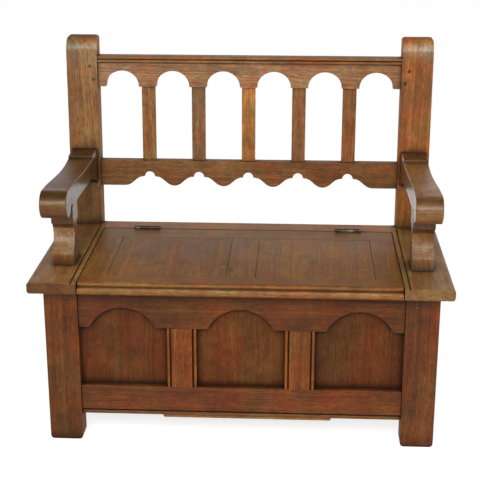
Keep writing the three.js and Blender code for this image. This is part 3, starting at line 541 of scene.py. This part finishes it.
def sees_out(point, outward, everything):
    for probe in PROBES:
        if probe.dot(outward) > 0.1 and everything.ray_cast(point, probe, CLEAR_VIEW)[0] is None:
            return True
    return False


def near_other(point, node, trees):
    for other, (tree, low, high) in trees.items():
        if other == node:
            continue
        if any(point[i] < low[i] - BOX_MARGIN or point[i] > high[i] + BOX_MARGIN for i in (X, Y, Z)):
            continue
        if tree.find_nearest(point, JOINT_REACH)[0] is not None:
            return True
    return False


# Boards: their grain

PITH_AWAY = (0.07, 0.2)  # how far a tree's pith lay from the middle of a board, in metres
GRAIN_START = 40  # each board's grain starts somewhere in so many metres, so that no two are alike
SLANT = 0.045  # most that the grain slants across a board

# Where the pith of some boards' trees lay from the board's middle, across its grain, in metres.
PITH = {
    "seat_end_board_left": (0.03, 0.075),
    "seat_end_board_right": (-0.02, 0.06),
    "arm_left": (0.004, 0.24),
    "arm_right": (-0.006, 0.24),
    "arm_support_left": (0.02, 0.2),
    "arm_support_right": (-0.03, 0.16),
}


def unleaned(point):
    """The Y of a point of the back as it was before the posts leaned."""
    return point.y - LEAN * max(0.0, point.z - SEAT_TOP * MM)


def add_grain(mesh, node, draw):
    """Writes each point's place along the grain and round the pith."""
    low, high = BOXES[node]
    middle = (low + high) / 2
    along = grain_of(node)
    u, v = [axis for axis in (X, Y, Z) if axis != along]
    angle = draw.uniform(0, 2 * math.pi)
    away = draw.uniform(*PITH_AWAY)
    start = draw.uniform(0, GRAIN_START)
    slant = (draw.uniform(-SLANT, SLANT), draw.uniform(-SLANT, SLANT))
    pith = PITH.get(node, (away * math.cos(angle), away * math.sin(angle)))
    grain = mesh.attributes.new("grain", "FLOAT_VECTOR", "POINT")
    for vertex, place in zip(mesh.vertices, grain.data):
        point = vertex.co.copy()
        point.y = unleaned(point)
        reach = point[along] - middle[along]
        place.vector = (
            start + reach,
            point[u] - middle[u] + pith[0] + slant[0] * reach,
            point[v] - middle[v] + pith[1] + slant[1] * reach,
        )


# Boards: their age, and the light and shade painted on them

# Each board has its own tint, for its red, green and blue, and places where it aged otherwise or where light
# and shade are painted on it. There its tint is multiplied by another, whose fourth number, if it has one,
# is the share of grime and painted shade in its nooks. The polish is 1 on most of the wood, 0 where it is
# dull and more where it shines. Places are in the bench's own millimetres.

PLAIN = (EVEN, 1)
FACING = 0.7  # a face looks along an axis if its normal's part along it is over this
FACE_DEPTH = 1  # a board's front face lies no further than this behind its foremost point
ARRIS_DEPTH = 3  # and its front arrises no further than this

TINTS = [
    ("back_post_left", (0.9, 1.13, 1.65)),
    ("back_post_right", (1.12, 0.98, 0.97)),
    ("crest_rail", (1.14, 1.45, 2.6)),
    ("back_slat_1", (1.0, 1.22, 1.5)),
    ("back_slat_2", (0.72, 1.0, 1.75)),
    ("back_slat_3", (1.3, 1.62, 1.65)),
    ("back_slat_4", (0.82, 0.88, 1.22)),
    ("back_slat_5", (0.98, 0.93, 1.05)),
    ("mid_rail", (0.76, 0.82, 1.0)),
    ("seat_back_strip", (1.52, 1.32, 0.5)),
    ("seat_end_board", (1.22, 1.4, 1.25)),
    ("lid_panel_left", (0.89, 0.84, 0.42)),
    ("lid_panel_right", (1.03, 0.92, 0.42)),
    ("lid_muntin", (1.02, 0.94, 0.46)),
    ("lid_stile", (0.96, 0.9, 0.46)),
    ("lid_back_rail", (1.02, 0.98, 0.5)),
    ("lid_front_rail", (0.95, 0.86, 0.5)),
    ("front_arched_rail", (0.44, 0.38, 0.34)),
    ("front_panel_middle", (0.73, 0.82, 0.86)),
    ("front_panel_right", (0.61, 0.65, 0.7)),
    ("front_panel_left", (0.65, 0.67, 0.72)),
    ("front_muntin", (0.74, 0.57, 0.38)),
    ("front_bottom_rail", (0.5, 0.38, 0.39)),
    ("front_leg_left", (0.57, 0.48, 0.42)),
    ("front_leg_right", (0.47, 0.39, 0.4)),
    ("box_floor", (0.54, 0.45, 0.38)),
    # The supports' tints also carry part of the painted highlight on their coves.
    ("arm_support_left", (1.0, 1.3, 1.6)),
    ("arm_support_right", (0.98, 1.5, 2.3)),
    ("arm_left", (0.53, 0.6, 0.45)),
    ("arm_right", (0.9, 1.08, 1.2)),
    ("side_", (0.7, 0.62, 0.62)),
    ("rear_", (0.8, 0.75, 0.75)),
    ("", EVEN),
]

# The radius of the roll at a post's top, and its tint by the millimetres below the roll's lower end: a
# painted highlight across the roll, painted shade over its top, and a fade down the post's face.
ROLL = 33
ROLL_PAINTED_LIGHT = {
    "back_post_left": (
        (-46, (0.72, 0.58, 0.5)),
        (-32, (1.0, 0.96, 1.0)),
        (-23, (1.15, 1.54, 2.2)),
        (-14, (1.38, 2.5, 4.8)),
        (-4, (1.17, 1.8, 2.8)),
        (3, (1.06, 1.32, 1.65)),
        (40, (1.06, 1.3, 1.62)),
        (50, EVEN),
    ),
    "back_post_right": (
        (-46, (1.0, 0.93, 0.85)),
        (-32, (1.3, 1.4, 1.35)),
        (-23, (1.26, 2.05, 4.0)),
        (-14, (1.3, 2.85, 8.6)),
        (-4, (1.13, 2.0, 4.8)),
        (3, (0.98, 1.6, 3.0)),
        (14, (0.87, 1.25, 2.0)),
        (22, (0.85, 1.0, 1.3)),
        (40, (0.95, 1.0, 1.0)),
    ),
}

# Each front leg's tint at its foot and at its top.
LEG_TINTS = {
    "front_leg_left": ((0, (0.86, 0.86, 0.87)), (1, (1.12, 1.06, 0.86))),
    "front_leg_right": ((0, (1.06, 1.1, 1.2)), (1, (0.9, 0.84, 0.7))),
}

# The bands across the front of each arm's support, from the top down: the height above which a band lies,
# its tint, its polish, and how much it darkens where its cove faces up. The top band is a painted shadow
# under the scroll, and the lighter band on the cove a painted highlight.
SUPPORT_PAINTED_LIGHT = {
    "arm_support_left": (
        (556, (0.5, 0.45, 0.42), 0.2, 0),
        (489, (1.48, 1.9, 2.6), 0.5, 0.3),
        (0, (0.9, 0.8, 0.7), 0.4, 0),
    ),
    "arm_support_right": (
        (556, (0.5, 0.45, 0.42), 0.2, 0),
        (524, (1.0, 0.88, 0.75), 0.5, 0),
        (494, (1.5, 1.7, 2.2), 0.5, 0.3),
        (0, (1.05, 0.95, 0.85), 0.4, 0),
    ),
}

# The lid's moulded nose: how far back from its front it reaches, how far the bullnose alone does, and the
# heights of the feet of the ovolo and of the groove under it.
NOSE_DEPTH = 19
BULLNOSE_DEPTH = 9.2
OVOLO_FOOT = 454
GROOVE_FOOT = 449.5
GOLDEN = (1.0, 1.08, 1.3)

# The bands along the bullnose, from the top down: the height above which a band lies, its tint at the left
# and right end of the lid, and its polish. They paint shade on its top and underside and a highlight along
# its upper front.
BULLNOSE_PAINTED_LIGHT = (
    (448.6, (0.9, 0.9, 1.1), (0.9, 0.9, 1.1), 0.5),
    (444.5, (1.1, 1.4, 2.8), (1.35, 2.0, 4.8), 1.8),
    (436, GOLDEN, GOLDEN, 1),
    (432, (0.75, 0.66, 0.55), (0.75, 0.66, 0.55), 0.5),
    (0, (0.4, 0.35, 0.35), (0.4, 0.35, 0.35), 0),
)

# The tint and polish of the end grain on the end boards' fronts, and of the tops of the arms.
END_GRAIN = {
    "seat_end_board_left": ((0.47, 0.43, 0.54), 0.3),
    "seat_end_board_right": ((0.84, 0.84, 1.06), 0.3),
}
ARM_TOPS = {
    "arm_left": ((0.96, 0.84, 0.45), 0.2),
    "arm_right": ((1.1, 1.14, 1.2), 0.7),
}

# An arm's scroll: the height of its middle, its radius, and where its own tints end behind and below.
SCROLL_MIDDLE = 644.5
SCROLL_RADIUS = 35.5
SCROLL_BACK = 12
SCROLL_FOOT = 612

# Bands along the scroll, by the degrees that its roll has turned up from its front: the middle and reach of
# the dark and the bright one, where its dull underside starts, and what the bright one adds to the tint. The
# dark band is a painted reflection of a dim ceiling, the bright one a painted highlight.
SCROLL_DARK_REFLECTION = (52, 30)
SCROLL_HIGHLIGHT = (15, 15)
SCROLL_UNDER = -12
SCROLL_HIGHLIGHT_TINT = {
    "arm_left": (0.45, 1.15, 1.5),
    "arm_right": (0.2, 0.5, 1.2),
}

BEAD = 8  # width of the bead along a muntin's edge
QUIRK = 0.9  # how far a quirk lies at least behind the face of its muntin
REEDS = 19.5  # height of the band of reeds along the crest
REEDS_BACK = 8  # how far they stop in front of the crest's back
HINGE_DIRT = 4  # how far dirt spreads from the hinge line
FLOOR_SHADOW_TOP = 81  # a painted shadow lies above this height on the floor's front edge
BESIDE_LEG = LEG_INNER - 1.7  # the front rails are dark from here to the leg
NOSE_SHADE = 26  # how far under the lid's nose the painted shadow leaves the arched rail half dark
RAIL_ARRIS = 2.3  # height of the bottom rail's worn arrises

# Where boards are cut so that their colour can change there: the axis and the place.
ROLL_FADE = sorted({below for stops in ROLL_PAINTED_LIGHT.values() for below, _ in stops if below > 0})
POST_CUTS = [(Z, POST_TOP - ROLL - below) for below in ROLL_FADE]
LEG_CUTS = [(X, -BESIDE_LEG), (X, BESIDE_LEG)]
CUTS = {
    "back_post_left": POST_CUTS,
    "back_post_right": POST_CUTS,
    "front_arched_rail": LEG_CUTS + [(Z, RAIL_TOP - share * NOSE_SHADE) for share in (0.5, 1, 1.5)],
    "front_bottom_rail": LEG_CUTS,
    "box_floor": [(Z, FLOOR_SHADOW_TOP)],
    "seat_back_strip": [(Y, HINGE_LINE + HINGE_DIRT)],
    "lid_back_rail": [(Y, HINGE_LINE - HINGE_DIRT)],
    "arm_support_left": [(Z, 558), (Z, 554), (Z, 493), (Z, 486)],
    "arm_support_right": [(Z, 560), (Z, 556), (Z, 528), (Z, 520), (Z, 498), (Z, 490)],
}


def blended(value, stops):
    """The tint at a value, between the two stops next to it."""
    if value <= stops[0][0]:
        return stops[0][1]
    for (start, first), (end, second) in zip(stops, stops[1:]):
        if value <= end:
            share = (value - start) / (end - start)
            return tuple(a + (b - a) * share for a, b in zip(first, second))
    return stops[-1][1]


def peak(value, middle, reach):
    """1 at the middle, and less on each side of it, down to 0."""
    return max(0.0, 1 - abs(value - middle) / reach)


def band_at(height, bands):
    return next(band for band in bands if height > band[0])


def inward(node, normal):
    """How far a face of a left or right board looks towards the middle of the bench, from -1 to 1."""
    return normal.x * (1 if node.endswith("left") else -1)


def aged_evenly(node, place, normal, low, high):
    return PLAIN


def muntin_beads_and_quirks(node, place, normal, low, high):
    """Beads lighter and golden, and dark quirks beside them."""
    from_edge = (high.x - low.x) / 2 - abs(place.x - (low.x + high.x) / 2)
    if from_edge > BEAD and place.y - low.y > QUIRK:
        return (0.2, 0.2, 0.25), 0
    if from_edge < BEAD:
        return (1.35, 1.35, 1.15), 1.2
    return PLAIN


def nose_painted_light(node, place, normal, low, high):
    """The nose is golden, with a painted highlight in its groove and along its bullnose, and painted shade
    on the bullnose's top and underside.
    """
    if place.y > low.y + NOSE_DEPTH:
        return PLAIN
    if place.y > low.y + BULLNOSE_DEPTH and place.z > GROOVE_FOOT:
        # The groove is painted light, with none of the grime and painted shade of its nook.
        return (GOLDEN, 1) if place.z > OVOLO_FOOT else ((1.9, 2.3, 3.2, 0.0), 0)
    _, left, right, polish = band_at(place.z, BULLNOSE_PAINTED_LIGHT)
    across = (place.x - low.x) / (high.x - low.x)
    return blended(across, ((0, left), (1, right))), polish


def aged_hinge_joint(node, place, normal, low, high):
    """Dirt fills the joint between the lid and the strip behind it."""
    if abs(place.y - HINGE_LINE) < HINGE_DIRT:
        return (0.42, 0.38, 0.36), 0.3
    return PLAIN


def aged_end_board(node, place, normal, low, high):
    """The end boards' front ends show end grain, dull and on the right one lighter."""
    return END_GRAIN[node] if place.y < low.y + FACE_DEPTH else PLAIN


def post_polish_and_painted_light(node, place, normal, low, high):
    """The posts' inner sides are dull, and their top rolls carry a painted highlight under painted shade."""
    if inward(node, normal) > FACING:
        return (1.6, 1.5, 1.35), 0
    if inward(node, normal) < -FACING or normal.y > 0.3:
        return PLAIN
    # Painted light on the roll: by the millimetres round the roll above its lower end, or down the face
    # below it.
    below = high.z - ROLL - place.z
    if below < 0:
        below = -ROLL * math.atan2(normal.z, -normal.y)
    return blended(below, ROLL_PAINTED_LIGHT[node]), 1


def aged_leg(node, place, normal, low, high):
    """The legs fade from foot to top, and their inner sides are pale and dull."""
    if inward(node, normal) > FACING:
        return (1.7, 1.5, 1.1), 0
    return blended((place.z - low.z) / (high.z - low.z), LEG_TINTS[node]), 1


def arm_polish_and_painted_light(node, place, normal, low, high):
    """The scroll carries a painted dark reflection above a painted highlight on its polished front, and the
    ledge at the post is dull, with the post's shadow painted on it.
    """
    if abs(normal.x) > FACING:
        return EVEN, 1.4
    # The post's shadow, painted on the ledge.
    if place.y > LEDGE_FRONT:
        return (0.62, 0.58, 0.55), 0.1
    if place.y < SCROLL_BACK and place.z > SCROLL_FOOT:
        rise = max(-1.0, min(1.0, (place.z - SCROLL_MIDDLE) / SCROLL_RADIUS))
        turn = math.degrees(math.asin(rise))
        dark = 0.58 * peak(turn, *SCROLL_DARK_REFLECTION)
        bright = peak(turn, *SCROLL_HIGHLIGHT)
        tint = tuple(1 - dark + share * bright for share in SCROLL_HIGHLIGHT_TINT[node])
        return tint, 0.5 if turn < SCROLL_UNDER else 1.1 + 0.3 * bright - dark
    return ARM_TOPS[node] if normal.z > FACING else PLAIN


def support_painted_light(node, place, normal, low, high):
    """The supports carry a painted shadow under the scroll and a painted highlight across their coves."""
    if normal.y > -0.4 or abs(normal.x) > FACING:
        return PLAIN
    _, tint, polish, fade = band_at(place.z, SUPPORT_PAINTED_LIGHT[node])
    level = 1 - fade * max(0.0, normal.z)
    return tuple(share * level for share in tint), polish


def aged_crest(node, place, normal, low, high):
    """The reeds along the crest are dark."""
    if place.z > high.z - REEDS and place.y < high.y - REEDS_BACK:
        return (0.74, 0.7, 0.57), 1
    return PLAIN


def floor_painted_shadow(node, place, normal, low, high):
    """A painted shadow fills the step under the bottom rail."""
    if place.y < low.y + FLOOR_JOINT and place.z > FLOOR_SHADOW_TOP:
        return (0.1, 0.1, 0.1), 0
    return PLAIN


def arched_rail_shadow_and_joints(node, place, normal, low, high):
    """A painted shadow darkens the arched rail under the lid's nose, and it is dark beside the legs and
    along the arrises behind its face.
    """
    if place.y > low.y + FACE_DEPTH or abs(place.x) > BESIDE_LEG:
        return (0.3, 0.3, 0.3) if place.y < low.y + ARRIS_DEPTH else EVEN, 0.3
    shade = max(0.5, min(1.0, 0.5 + (high.z - NOSE_SHADE - place.z) / NOSE_SHADE))
    return (shade, 0.95 * shade, 0.9 * shade), shade


def bottom_rail_shadow_and_highlight(node, place, normal, low, high):
    """The bottom rail is dark beside the legs, with a painted shadow along its lower arris, and its top
    arris is rubbed light with a painted highlight on it.
    """
    if place.y > low.y + ARRIS_DEPTH:
        return PLAIN
    if abs(place.x) > BESIDE_LEG or place.z < low.z + RAIL_ARRIS:
        return (0.25, 0.25, 0.25), 0
    # A light line along the top arris: rubbed, and a painted highlight.
    if place.z > high.z - RAIL_ARRIS:
        return (1.9, 2.3, 3.4), 1.5
    return PLAIN


# Each kind of board's own wear and marks, and the light and shade painted on it; the first that fits.
WEAR_AND_PAINTED_LIGHT = [
    ("front_muntin", muntin_beads_and_quirks),
    ("lid_front_rail", nose_painted_light),
    ("seat_end_board", aged_end_board),
    ("seat_back_strip", aged_hinge_joint),
    ("lid_back_rail", aged_hinge_joint),
    ("back_post", post_polish_and_painted_light),
    ("front_leg", aged_leg),
    ("arm_support", support_painted_light),
    ("arm", arm_polish_and_painted_light),
    ("crest_rail", aged_crest),
    ("box_floor", floor_painted_shadow),
    ("front_arched_rail", arched_rail_shadow_and_joints),
    ("front_bottom_rail", bottom_rail_shadow_and_highlight),
    ("", aged_evenly),
]


def add_tint(mesh, node):
    """Writes each face corner's tint and polish, read a little way in from the corner."""
    own = entry(TINTS, node)
    wear_and_light = entry(WEAR_AND_PAINTED_LIGHT, node)
    low, high = corners(node)
    mesh.attributes.new("tint", "FLOAT_COLOR", "CORNER")
    mesh.attributes.new("polish", "FLOAT", "CORNER")
    # A new attribute makes older references stale, so both are looked up once both are there.
    tint, polish = mesh.attributes["tint"], mesh.attributes["polish"]
    for face in mesh.polygons:
        for loop in face.loop_indices:
            corner = mesh.vertices[mesh.loops[loop].vertex_index].co.lerp(face.center, 0.1)
            shade, shine = wear_and_light(node, in_bench(corner), face.normal, low, high)
            dirt_and_shade_share = shade[3] if len(shade) > 3 else 1
            tint.data[loop].color = (own[0] * shade[0], own[1] * shade[1], own[2] * shade[2], dirt_and_shade_share)
            polish.data[loop].value = shine


# Boards: how they are made

JOIN = 0.02 * MM  # points that lie nearer than this are one
ON_CUT = 0.01 * MM  # points that lie nearer than this are on a cut
FLAT = math.radians(0.6)  # faces that meet at less than this are one


def clean_copy(node):
    """A node's mesh with its points joined, the flat parts of its faces made whole, and its cuts."""
    mesh = bmesh.new()
    mesh.from_mesh(NODES[node].data)
    bmesh.ops.remove_doubles(mesh, verts=mesh.verts, dist=JOIN)
    bmesh.ops.dissolve_limit(mesh, angle_limit=FLAT, verts=mesh.verts, edges=mesh.edges, delimit=set())
    for axis, place in CUTS.get(node, ()):
        spot, across = Vector((0, 0, 0)), Vector((0, 0, 0))
        spot[axis], across[axis] = place, 1
        parts = list(mesh.verts) + list(mesh.edges) + list(mesh.faces)
        bmesh.ops.bisect_plane(mesh, geom=parts, dist=ON_CUT, plane_co=at(*spot), plane_no=across)
    bmesh.ops.recalc_face_normals(mesh, faces=mesh.faces)
    return mesh


def weigh_edges(mesh, node, trees, everything, joint_share):
    """Gives each outer edge the share of the board's worn width that it takes."""
    weights = mesh.edges.layers.float.new("bevel_weight_edge")
    for edge in mesh.edges:
        if len(edge.link_faces) != 2 or edge.calc_face_angle_signed(0) < SHARP:
            continue
        kind = edge_kind(node, edge, trees, everything)
        if kind == "free" or (kind == "joint" and beside_floor(node, edge)):
            edge[weights] = crispness(node, edge)
        elif kind == "joint":
            edge[weights] = joint_share


def add_board(node, trees, everything, draw):
    """One board of the visual model: the node's own shape with its edges worn round."""
    mesh = clean_copy(node)
    wide = entry(ARRIS, node) * MM
    weigh_edges(mesh, node, trees, everything, min(JOINT_ARRIS * MM, wide) / wide)
    board = new_piece("worn_" + node, mesh, node + "_oak")
    worn_edges = board.modifiers.new("worn", "BEVEL")
    worn_edges.limit_method = "WEIGHT"
    worn_edges.width = wide
    worn_edges.segments = 3 if wide > 2 * MM else 2
    worn_edges.use_clamp_overlap = True
    worn_edges.miter_outer = "MITER_ARC"
    worn_edges.loop_slide = False
    apply_modifiers(board)
    add_grain(board.data, node, draw)
    add_tint(board.data, node)
    shade_smooth(board)
    dress(board, node, finish_of(node))


def new_piece(name, mesh, data_name=None):
    """An object of a finished bmesh, which it frees."""
    data = bpy.data.meshes.new(data_name or name)
    mesh.to_mesh(data)
    mesh.free()
    piece = bpy.data.objects.new(name, data)
    bpy.context.scene.collection.objects.link(piece)
    return piece


def apply_modifiers(piece):
    graph = bpy.context.evaluated_depsgraph_get()
    done = bpy.data.meshes.new_from_object(piece.evaluated_get(graph))
    piece.modifiers.clear()
    piece.data = done


def shade_smooth(piece):
    piece.data.polygons.foreach_set("use_smooth", [True] * len(piece.data.polygons))
    piece.data.set_sharp_from_angle(angle=SHARP)
    weighted = piece.modifiers.new("even_faces", "WEIGHTED_NORMAL")
    weighted.keep_sharp = True


def dress(piece, node, slot):
    piece.data.materials.clear()
    piece.data.materials.append(FINISHES[slot])
    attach(piece, NODES[node]["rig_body"])
    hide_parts(node)


def build_boards():
    """Every board and hinge piece. Trees of the nodes' faces tell an edge what lies near it."""
    trees = {}
    all_points, all_faces = [], []
    for node in sorted(NODES):
        mesh = NODES[node].data
        points = [vertex.co.copy() for vertex in mesh.vertices]
        faces = [tuple(face.vertices) for face in mesh.polygons]
        trees[node] = (BVHTree.FromPolygons(points, faces), *BOXES[node])
        all_faces += [tuple(index + len(all_points) for index in face) for face in faces]
        all_points += points
    everything = BVHTree.FromPolygons(all_points, all_faces)
    for node in sorted(NODES):
        if not node.startswith("leg_peg"):
            add_board(node, trees, everything, random.Random("oak " + node))


# Pegs

PEG_SIDES = 12
PEG_SHARP = math.radians(50)
PEG_PITH = 0.02  # metres from the middle of a peg to the pith of its tree

# The tint of a peg's four rings of points, from its foot to the middle of its head: its rim holds dirt.
PEG_SHADES = ((0.1, 0.1, 0.12), (0.1, 0.1, 0.12), (0.16, 0.18, 0.26), (0.5, 0.72, 1.5))

# The small pegs that are no nodes, in the bench's own millimetres: across the bench and up it, then their
# radius and how proud they stand.
CREST_PEGS = ((-435.6, 909.3), (-427.4, 873.4), (436.1, 902.1), (426.5, 868.7))
CREST_PEG = (4.6, 0.8)
MUNTIN_PEGS = ((-150, 327), (153, 325), (-150, 134), (151, 132))
MUNTIN_PEG = (4.2, 0.7)

# The outer sides' pegs: their heights, their radius, and for those in the legs and those in the posts the
# two depths that they are staggered between and how proud they stand.
SIDE_PEG_HEIGHTS = (389, 349, 132, 99)
SIDE_PEG_RADIUS = 4.8
SIDE_PEGS = {
    "side_peg": ((30, 38), 2.2),
    "rear_side_peg": ((437, 445), 1.2),
}


def add_peg(name, place, direction, radius, proud, body, depth=6 * MM):
    """An oak peg whose head stands a little proud of a face."""
    mesh = bmesh.new()
    draw = random.Random("peg " + name)
    rings = ((-depth, 1.0), (0.3 * proud, 1.0), (0.8 * proud, 0.78), (proud, 0.5))
    uneven = [draw.uniform(0.94, 1.0) for _ in range(PEG_SIDES)]
    loops = []
    for height, share in rings:
        loops.append([
            mesh.verts.new((
                radius * share * uneven[i] * math.cos(2 * math.pi * i / PEG_SIDES),
                radius * share * uneven[i] * math.sin(2 * math.pi * i / PEG_SIDES),
                height,
            ))
            for i in range(PEG_SIDES)
        ])
    join_loops(mesh, loops)
    turn = Vector(direction).to_track_quat("Z", "Y").to_matrix().to_4x4()
    mesh.transform(Matrix.Translation(place) @ turn)
    peg = new_piece(name, mesh)
    add_peg_wear(peg.data, turn.inverted(), Vector(place), draw.uniform(0, GRAIN_START))
    peg.data.polygons.foreach_set("use_smooth", [True] * len(peg.data.polygons))
    peg.data.set_sharp_from_angle(angle=PEG_SHARP)
    peg.data.materials.append(FINISHES["frame_oak"])
    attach(peg, body)
    return peg


def join_loops(mesh, loops):
    """Walls from each loop of points to the next, and a cap at each end."""
    for lower, upper in zip(loops, loops[1:]):
        for i in range(len(lower)):
            j = (i + 1) % len(lower)
            mesh.faces.new((lower[i], lower[j], upper[j], upper[i]))
    mesh.faces.new(loops[-1])
    mesh.faces.new(loops[0][::-1])


def add_peg_wear(data, back, place, start):
    """Writes a peg's grain, which runs along it, its tint and its polish."""
    grain = data.attributes.new("grain", "FLOAT_VECTOR", "POINT")
    for vertex, spot in zip(data.vertices, grain.data):
        local = back @ (vertex.co - place)
        spot.vector = (start + local.z, local.x + PEG_PITH, local.y)
    tint = data.attributes.new("tint", "FLOAT_COLOR", "POINT")
    for index, spot in enumerate(tint.data):
        spot.color = (*PEG_SHADES[index // PEG_SIDES], 1)
    polish = data.attributes.new("polish", "FLOAT", "POINT")
    for spot in polish.data:
        spot.value = 0


def add_leg_pegs():
    """The eight pegs of the legs, each in the place of its node."""
    for node in sorted(NODES):
        if node.startswith("leg_peg"):
            low, high = BOXES[node]
            face = Vector(((low.x + high.x) / 2, LEG_FACE, (low.z + high.z) / 2))
            radius = (high.x - low.x) / 2
            proud, depth = LEG_FACE - low.y, high.y - LEG_FACE
            peg = add_peg("worn_" + node, face, (0, -1, 0), radius, proud, "bench", depth)
            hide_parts(node)


def add_small_pegs():
    """Four pegs in the leaning posts, four at the muntins, and eight in each outer side."""
    front = (0, -1, 0)
    radius, proud = (size * MM for size in CREST_PEG)
    for index, (x, z) in enumerate(CREST_PEGS, 1):
        place = at(x, POST_FACE + LEAN * (z - SEAT_TOP), z)
        add_peg(f"crest_peg_{index}", place, front, radius, proud, "bench")
    radius, proud = (size * MM for size in MUNTIN_PEG)
    for index, (x, z) in enumerate(MUNTIN_PEGS, 1):
        add_peg(f"muntin_peg_{index}", at(x, RAIL_FACE, z), front, radius, proud, "bench")
    for hand, way in (("left", -1), ("right", 1)):
        for index, z in enumerate(SIDE_PEG_HEIGHTS, 1):
            for kind, (depths, proud) in SIDE_PEGS.items():
                place = at(LEG_OUTER * way, depths[(index + 1) % 2], z)
                name = f"{kind}_{hand}_{index}"
                add_peg(name, place, (way, 0, 0), SIDE_PEG_RADIUS * MM, proud * MM, "bench")


# Screws

SCREW_RADIUS = 3 * MM
SCREW_SLOT = 0.45 * MM  # half the width of the slot
SCREW_RISE = 0.22 * MM  # how far the two halves stand over the leaf
SCREW_SUNK = 0.6 * MM  # how far they reach into it
SCREW_STEPS = 10  # along the rim of one half
DISC_RADIUS = 0.96 * SCREW_RADIUS
DISC_DEPTHS = (-0.7 * MM, -0.1 * MM)  # of its back and of its face, the floor of the slot
DISC_SIDES = 24
SCREW_SPOTS = (0.17, 0.5, 0.83)  # shares of a leaf's length
SCREW_UP = 6.5 * MM  # from the foot of a leaf
LEAF_GAP = 0.5 * MM  # from a leaf's flat face to the hinge line


def add_screws():
    """Three slotted screws in each leaf of the hinges, which show when the lid is open."""
    for hand in ("left", "right"):
        low_pin, high_pin = BOXES["hinge_pin_" + hand]
        for kind, way in (("fixed", -1), ("moving", 1)):
            node = f"hinge_{kind}_leaf_{hand}"
            low, high = BOXES[node]
            face = (low_pin.y + high_pin.y) / 2 - way * LEAF_GAP
            for index, share in enumerate(SCREW_SPOTS, 1):
                place = Vector((low.x + share * (high.x - low.x), face, low.z + SCREW_UP))
                add_screw(f"screw_{kind}_{hand}_{index}", place, way, NODES[node]["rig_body"])


def add_screw(name, place, way, body):
    """A screw's slotted head: two halves over a lower disc, facing along Y."""
    mesh = bmesh.new()
    turn = random.Random(name).uniform(0, math.pi)
    slot = math.asin(SCREW_SLOT / SCREW_RADIUS)
    for side in (1, -1):
        arc = [slot + (math.pi - 2 * slot) * i / SCREW_STEPS for i in range(SCREW_STEPS + 1)]
        rim = [(SCREW_RADIUS * math.cos(t), side * SCREW_RADIUS * math.sin(t)) for t in arc]
        raise_outline(mesh, rim, -SCREW_SUNK, SCREW_RISE)
    around = [2 * math.pi * i / DISC_SIDES for i in range(DISC_SIDES)]
    disc = [(DISC_RADIUS * math.cos(t), DISC_RADIUS * math.sin(t)) for t in around]
    raise_outline(mesh, disc, *DISC_DEPTHS)
    bmesh.ops.recalc_face_normals(mesh, faces=mesh.faces)
    facing = Vector((0, way, 0)).to_track_quat("Z", "X").to_matrix().to_4x4()
    mesh.transform(Matrix.Translation(place) @ facing @ Matrix.Rotation(turn, 4, "Z"))
    screw = new_piece(name, mesh)
    screw.data.materials.append(FINISHES["hinge_iron"])
    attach(screw, body)


def raise_outline(mesh, outline, low, high):
    """A closed prism over an outline."""
    join_loops(mesh, [[mesh.verts.new((x, y, z)) for x, y in outline] for z in (low, high)])


# Floor and world

FLOOR_REACH = 9  # metres from the middle of the floor to its edge
FLOOR_DROP = 0.6 * MM  # it lies this far under the feet, so that no two faces coincide
FLOOR_COLOUR = (0.8, 0.8, 0.79, 1)  # as it lights the bench
FLOOR_SHADOW = (0.42, 0.42, 0.42, 1)  # what the camera sees of the light on it
FLOOR_GLOW = 0.78  # what the camera sees besides
WHITE = (1, 1, 1, 1)


def add_floor():
    mesh = bmesh.new()
    bmesh.ops.create_grid(mesh, x_segments=8, y_segments=8, size=FLOOR_REACH)
    floor = new_piece("studio_floor", mesh)
    floor.location = (0, 0, -FLOOR_DROP)
    material, tree = new_material("pale_floor")
    path = tree.node("ShaderNodeLightPath")
    seen = tree.math("MAXIMUM", path.outputs["Is Camera Ray"], path.outputs["Is Glossy Ray"])
    seen = tree.math("MAXIMUM", seen, path.outputs["Is Transmission Ray"])
    matt = tree.node("ShaderNodeBsdfDiffuse", Color=FLOOR_COLOUR)
    shadow = tree.node("ShaderNodeBsdfDiffuse", Color=FLOOR_SHADOW)
    glow = tree.node("ShaderNodeEmission", Color=WHITE, Strength=FLOOR_GLOW)
    lit = tree.node("ShaderNodeAddShader", i0=shadow.outputs[0], i1=glow.outputs[0])
    both = tree.node("ShaderNodeMixShader", i0=seen, i1=matt.outputs[0], i2=lit.outputs[0])
    tree.node("ShaderNodeOutputMaterial", Surface=both.outputs[0])
    floor.data.materials.append(material)


def add_world():
    """White behind everything that is seen, a dim ceiling in reflections, and soft light from above."""
    world = bpy.data.worlds.new("studio")
    bpy.context.scene.world = world
    world.use_nodes = True
    tree = Tree(world.node_tree)
    path = tree.node("ShaderNodeLightPath")
    seen = tree.math("MAXIMUM", path.outputs["Is Camera Ray"], path.outputs["Is Transmission Ray"])
    way = tree.node("ShaderNodeTexCoord").outputs["Generated"]
    height = tree.node("ShaderNodeSeparateXYZ", i0=way).outputs["Z"]
    soft = tree.ramp(height, (0.0, 0.3), (0.7, 0.52))
    mirrored = tree.ramp(height, (0.35, 1.0), (0.7, 0.22))
    lighting, reflection, backdrop = (
        tree.node("ShaderNodeBackground", Color=WHITE, Strength=strength).outputs[0]
        for strength in (soft, mirrored, 1.0)
    )
    reflected = path.outputs["Is Glossy Ray"]
    unseen = tree.node("ShaderNodeMixShader", i0=reflected, i1=lighting, i2=reflection)
    both = tree.node("ShaderNodeMixShader", i0=seen, i1=unseen.outputs[0], i2=backdrop)
    tree.node("ShaderNodeOutputWorld", Surface=both.outputs[0])


build_boards()
add_leg_pegs()
add_small_pegs()
add_screws()
add_floor()
add_world()
for lamp_name, lamp in LAMPS.items():
    add_lamp(lamp_name, *lamp)
add_camera()
bpy.context.scene.view_settings.view_transform = "Standard"

bpy.context.view_layer.update()
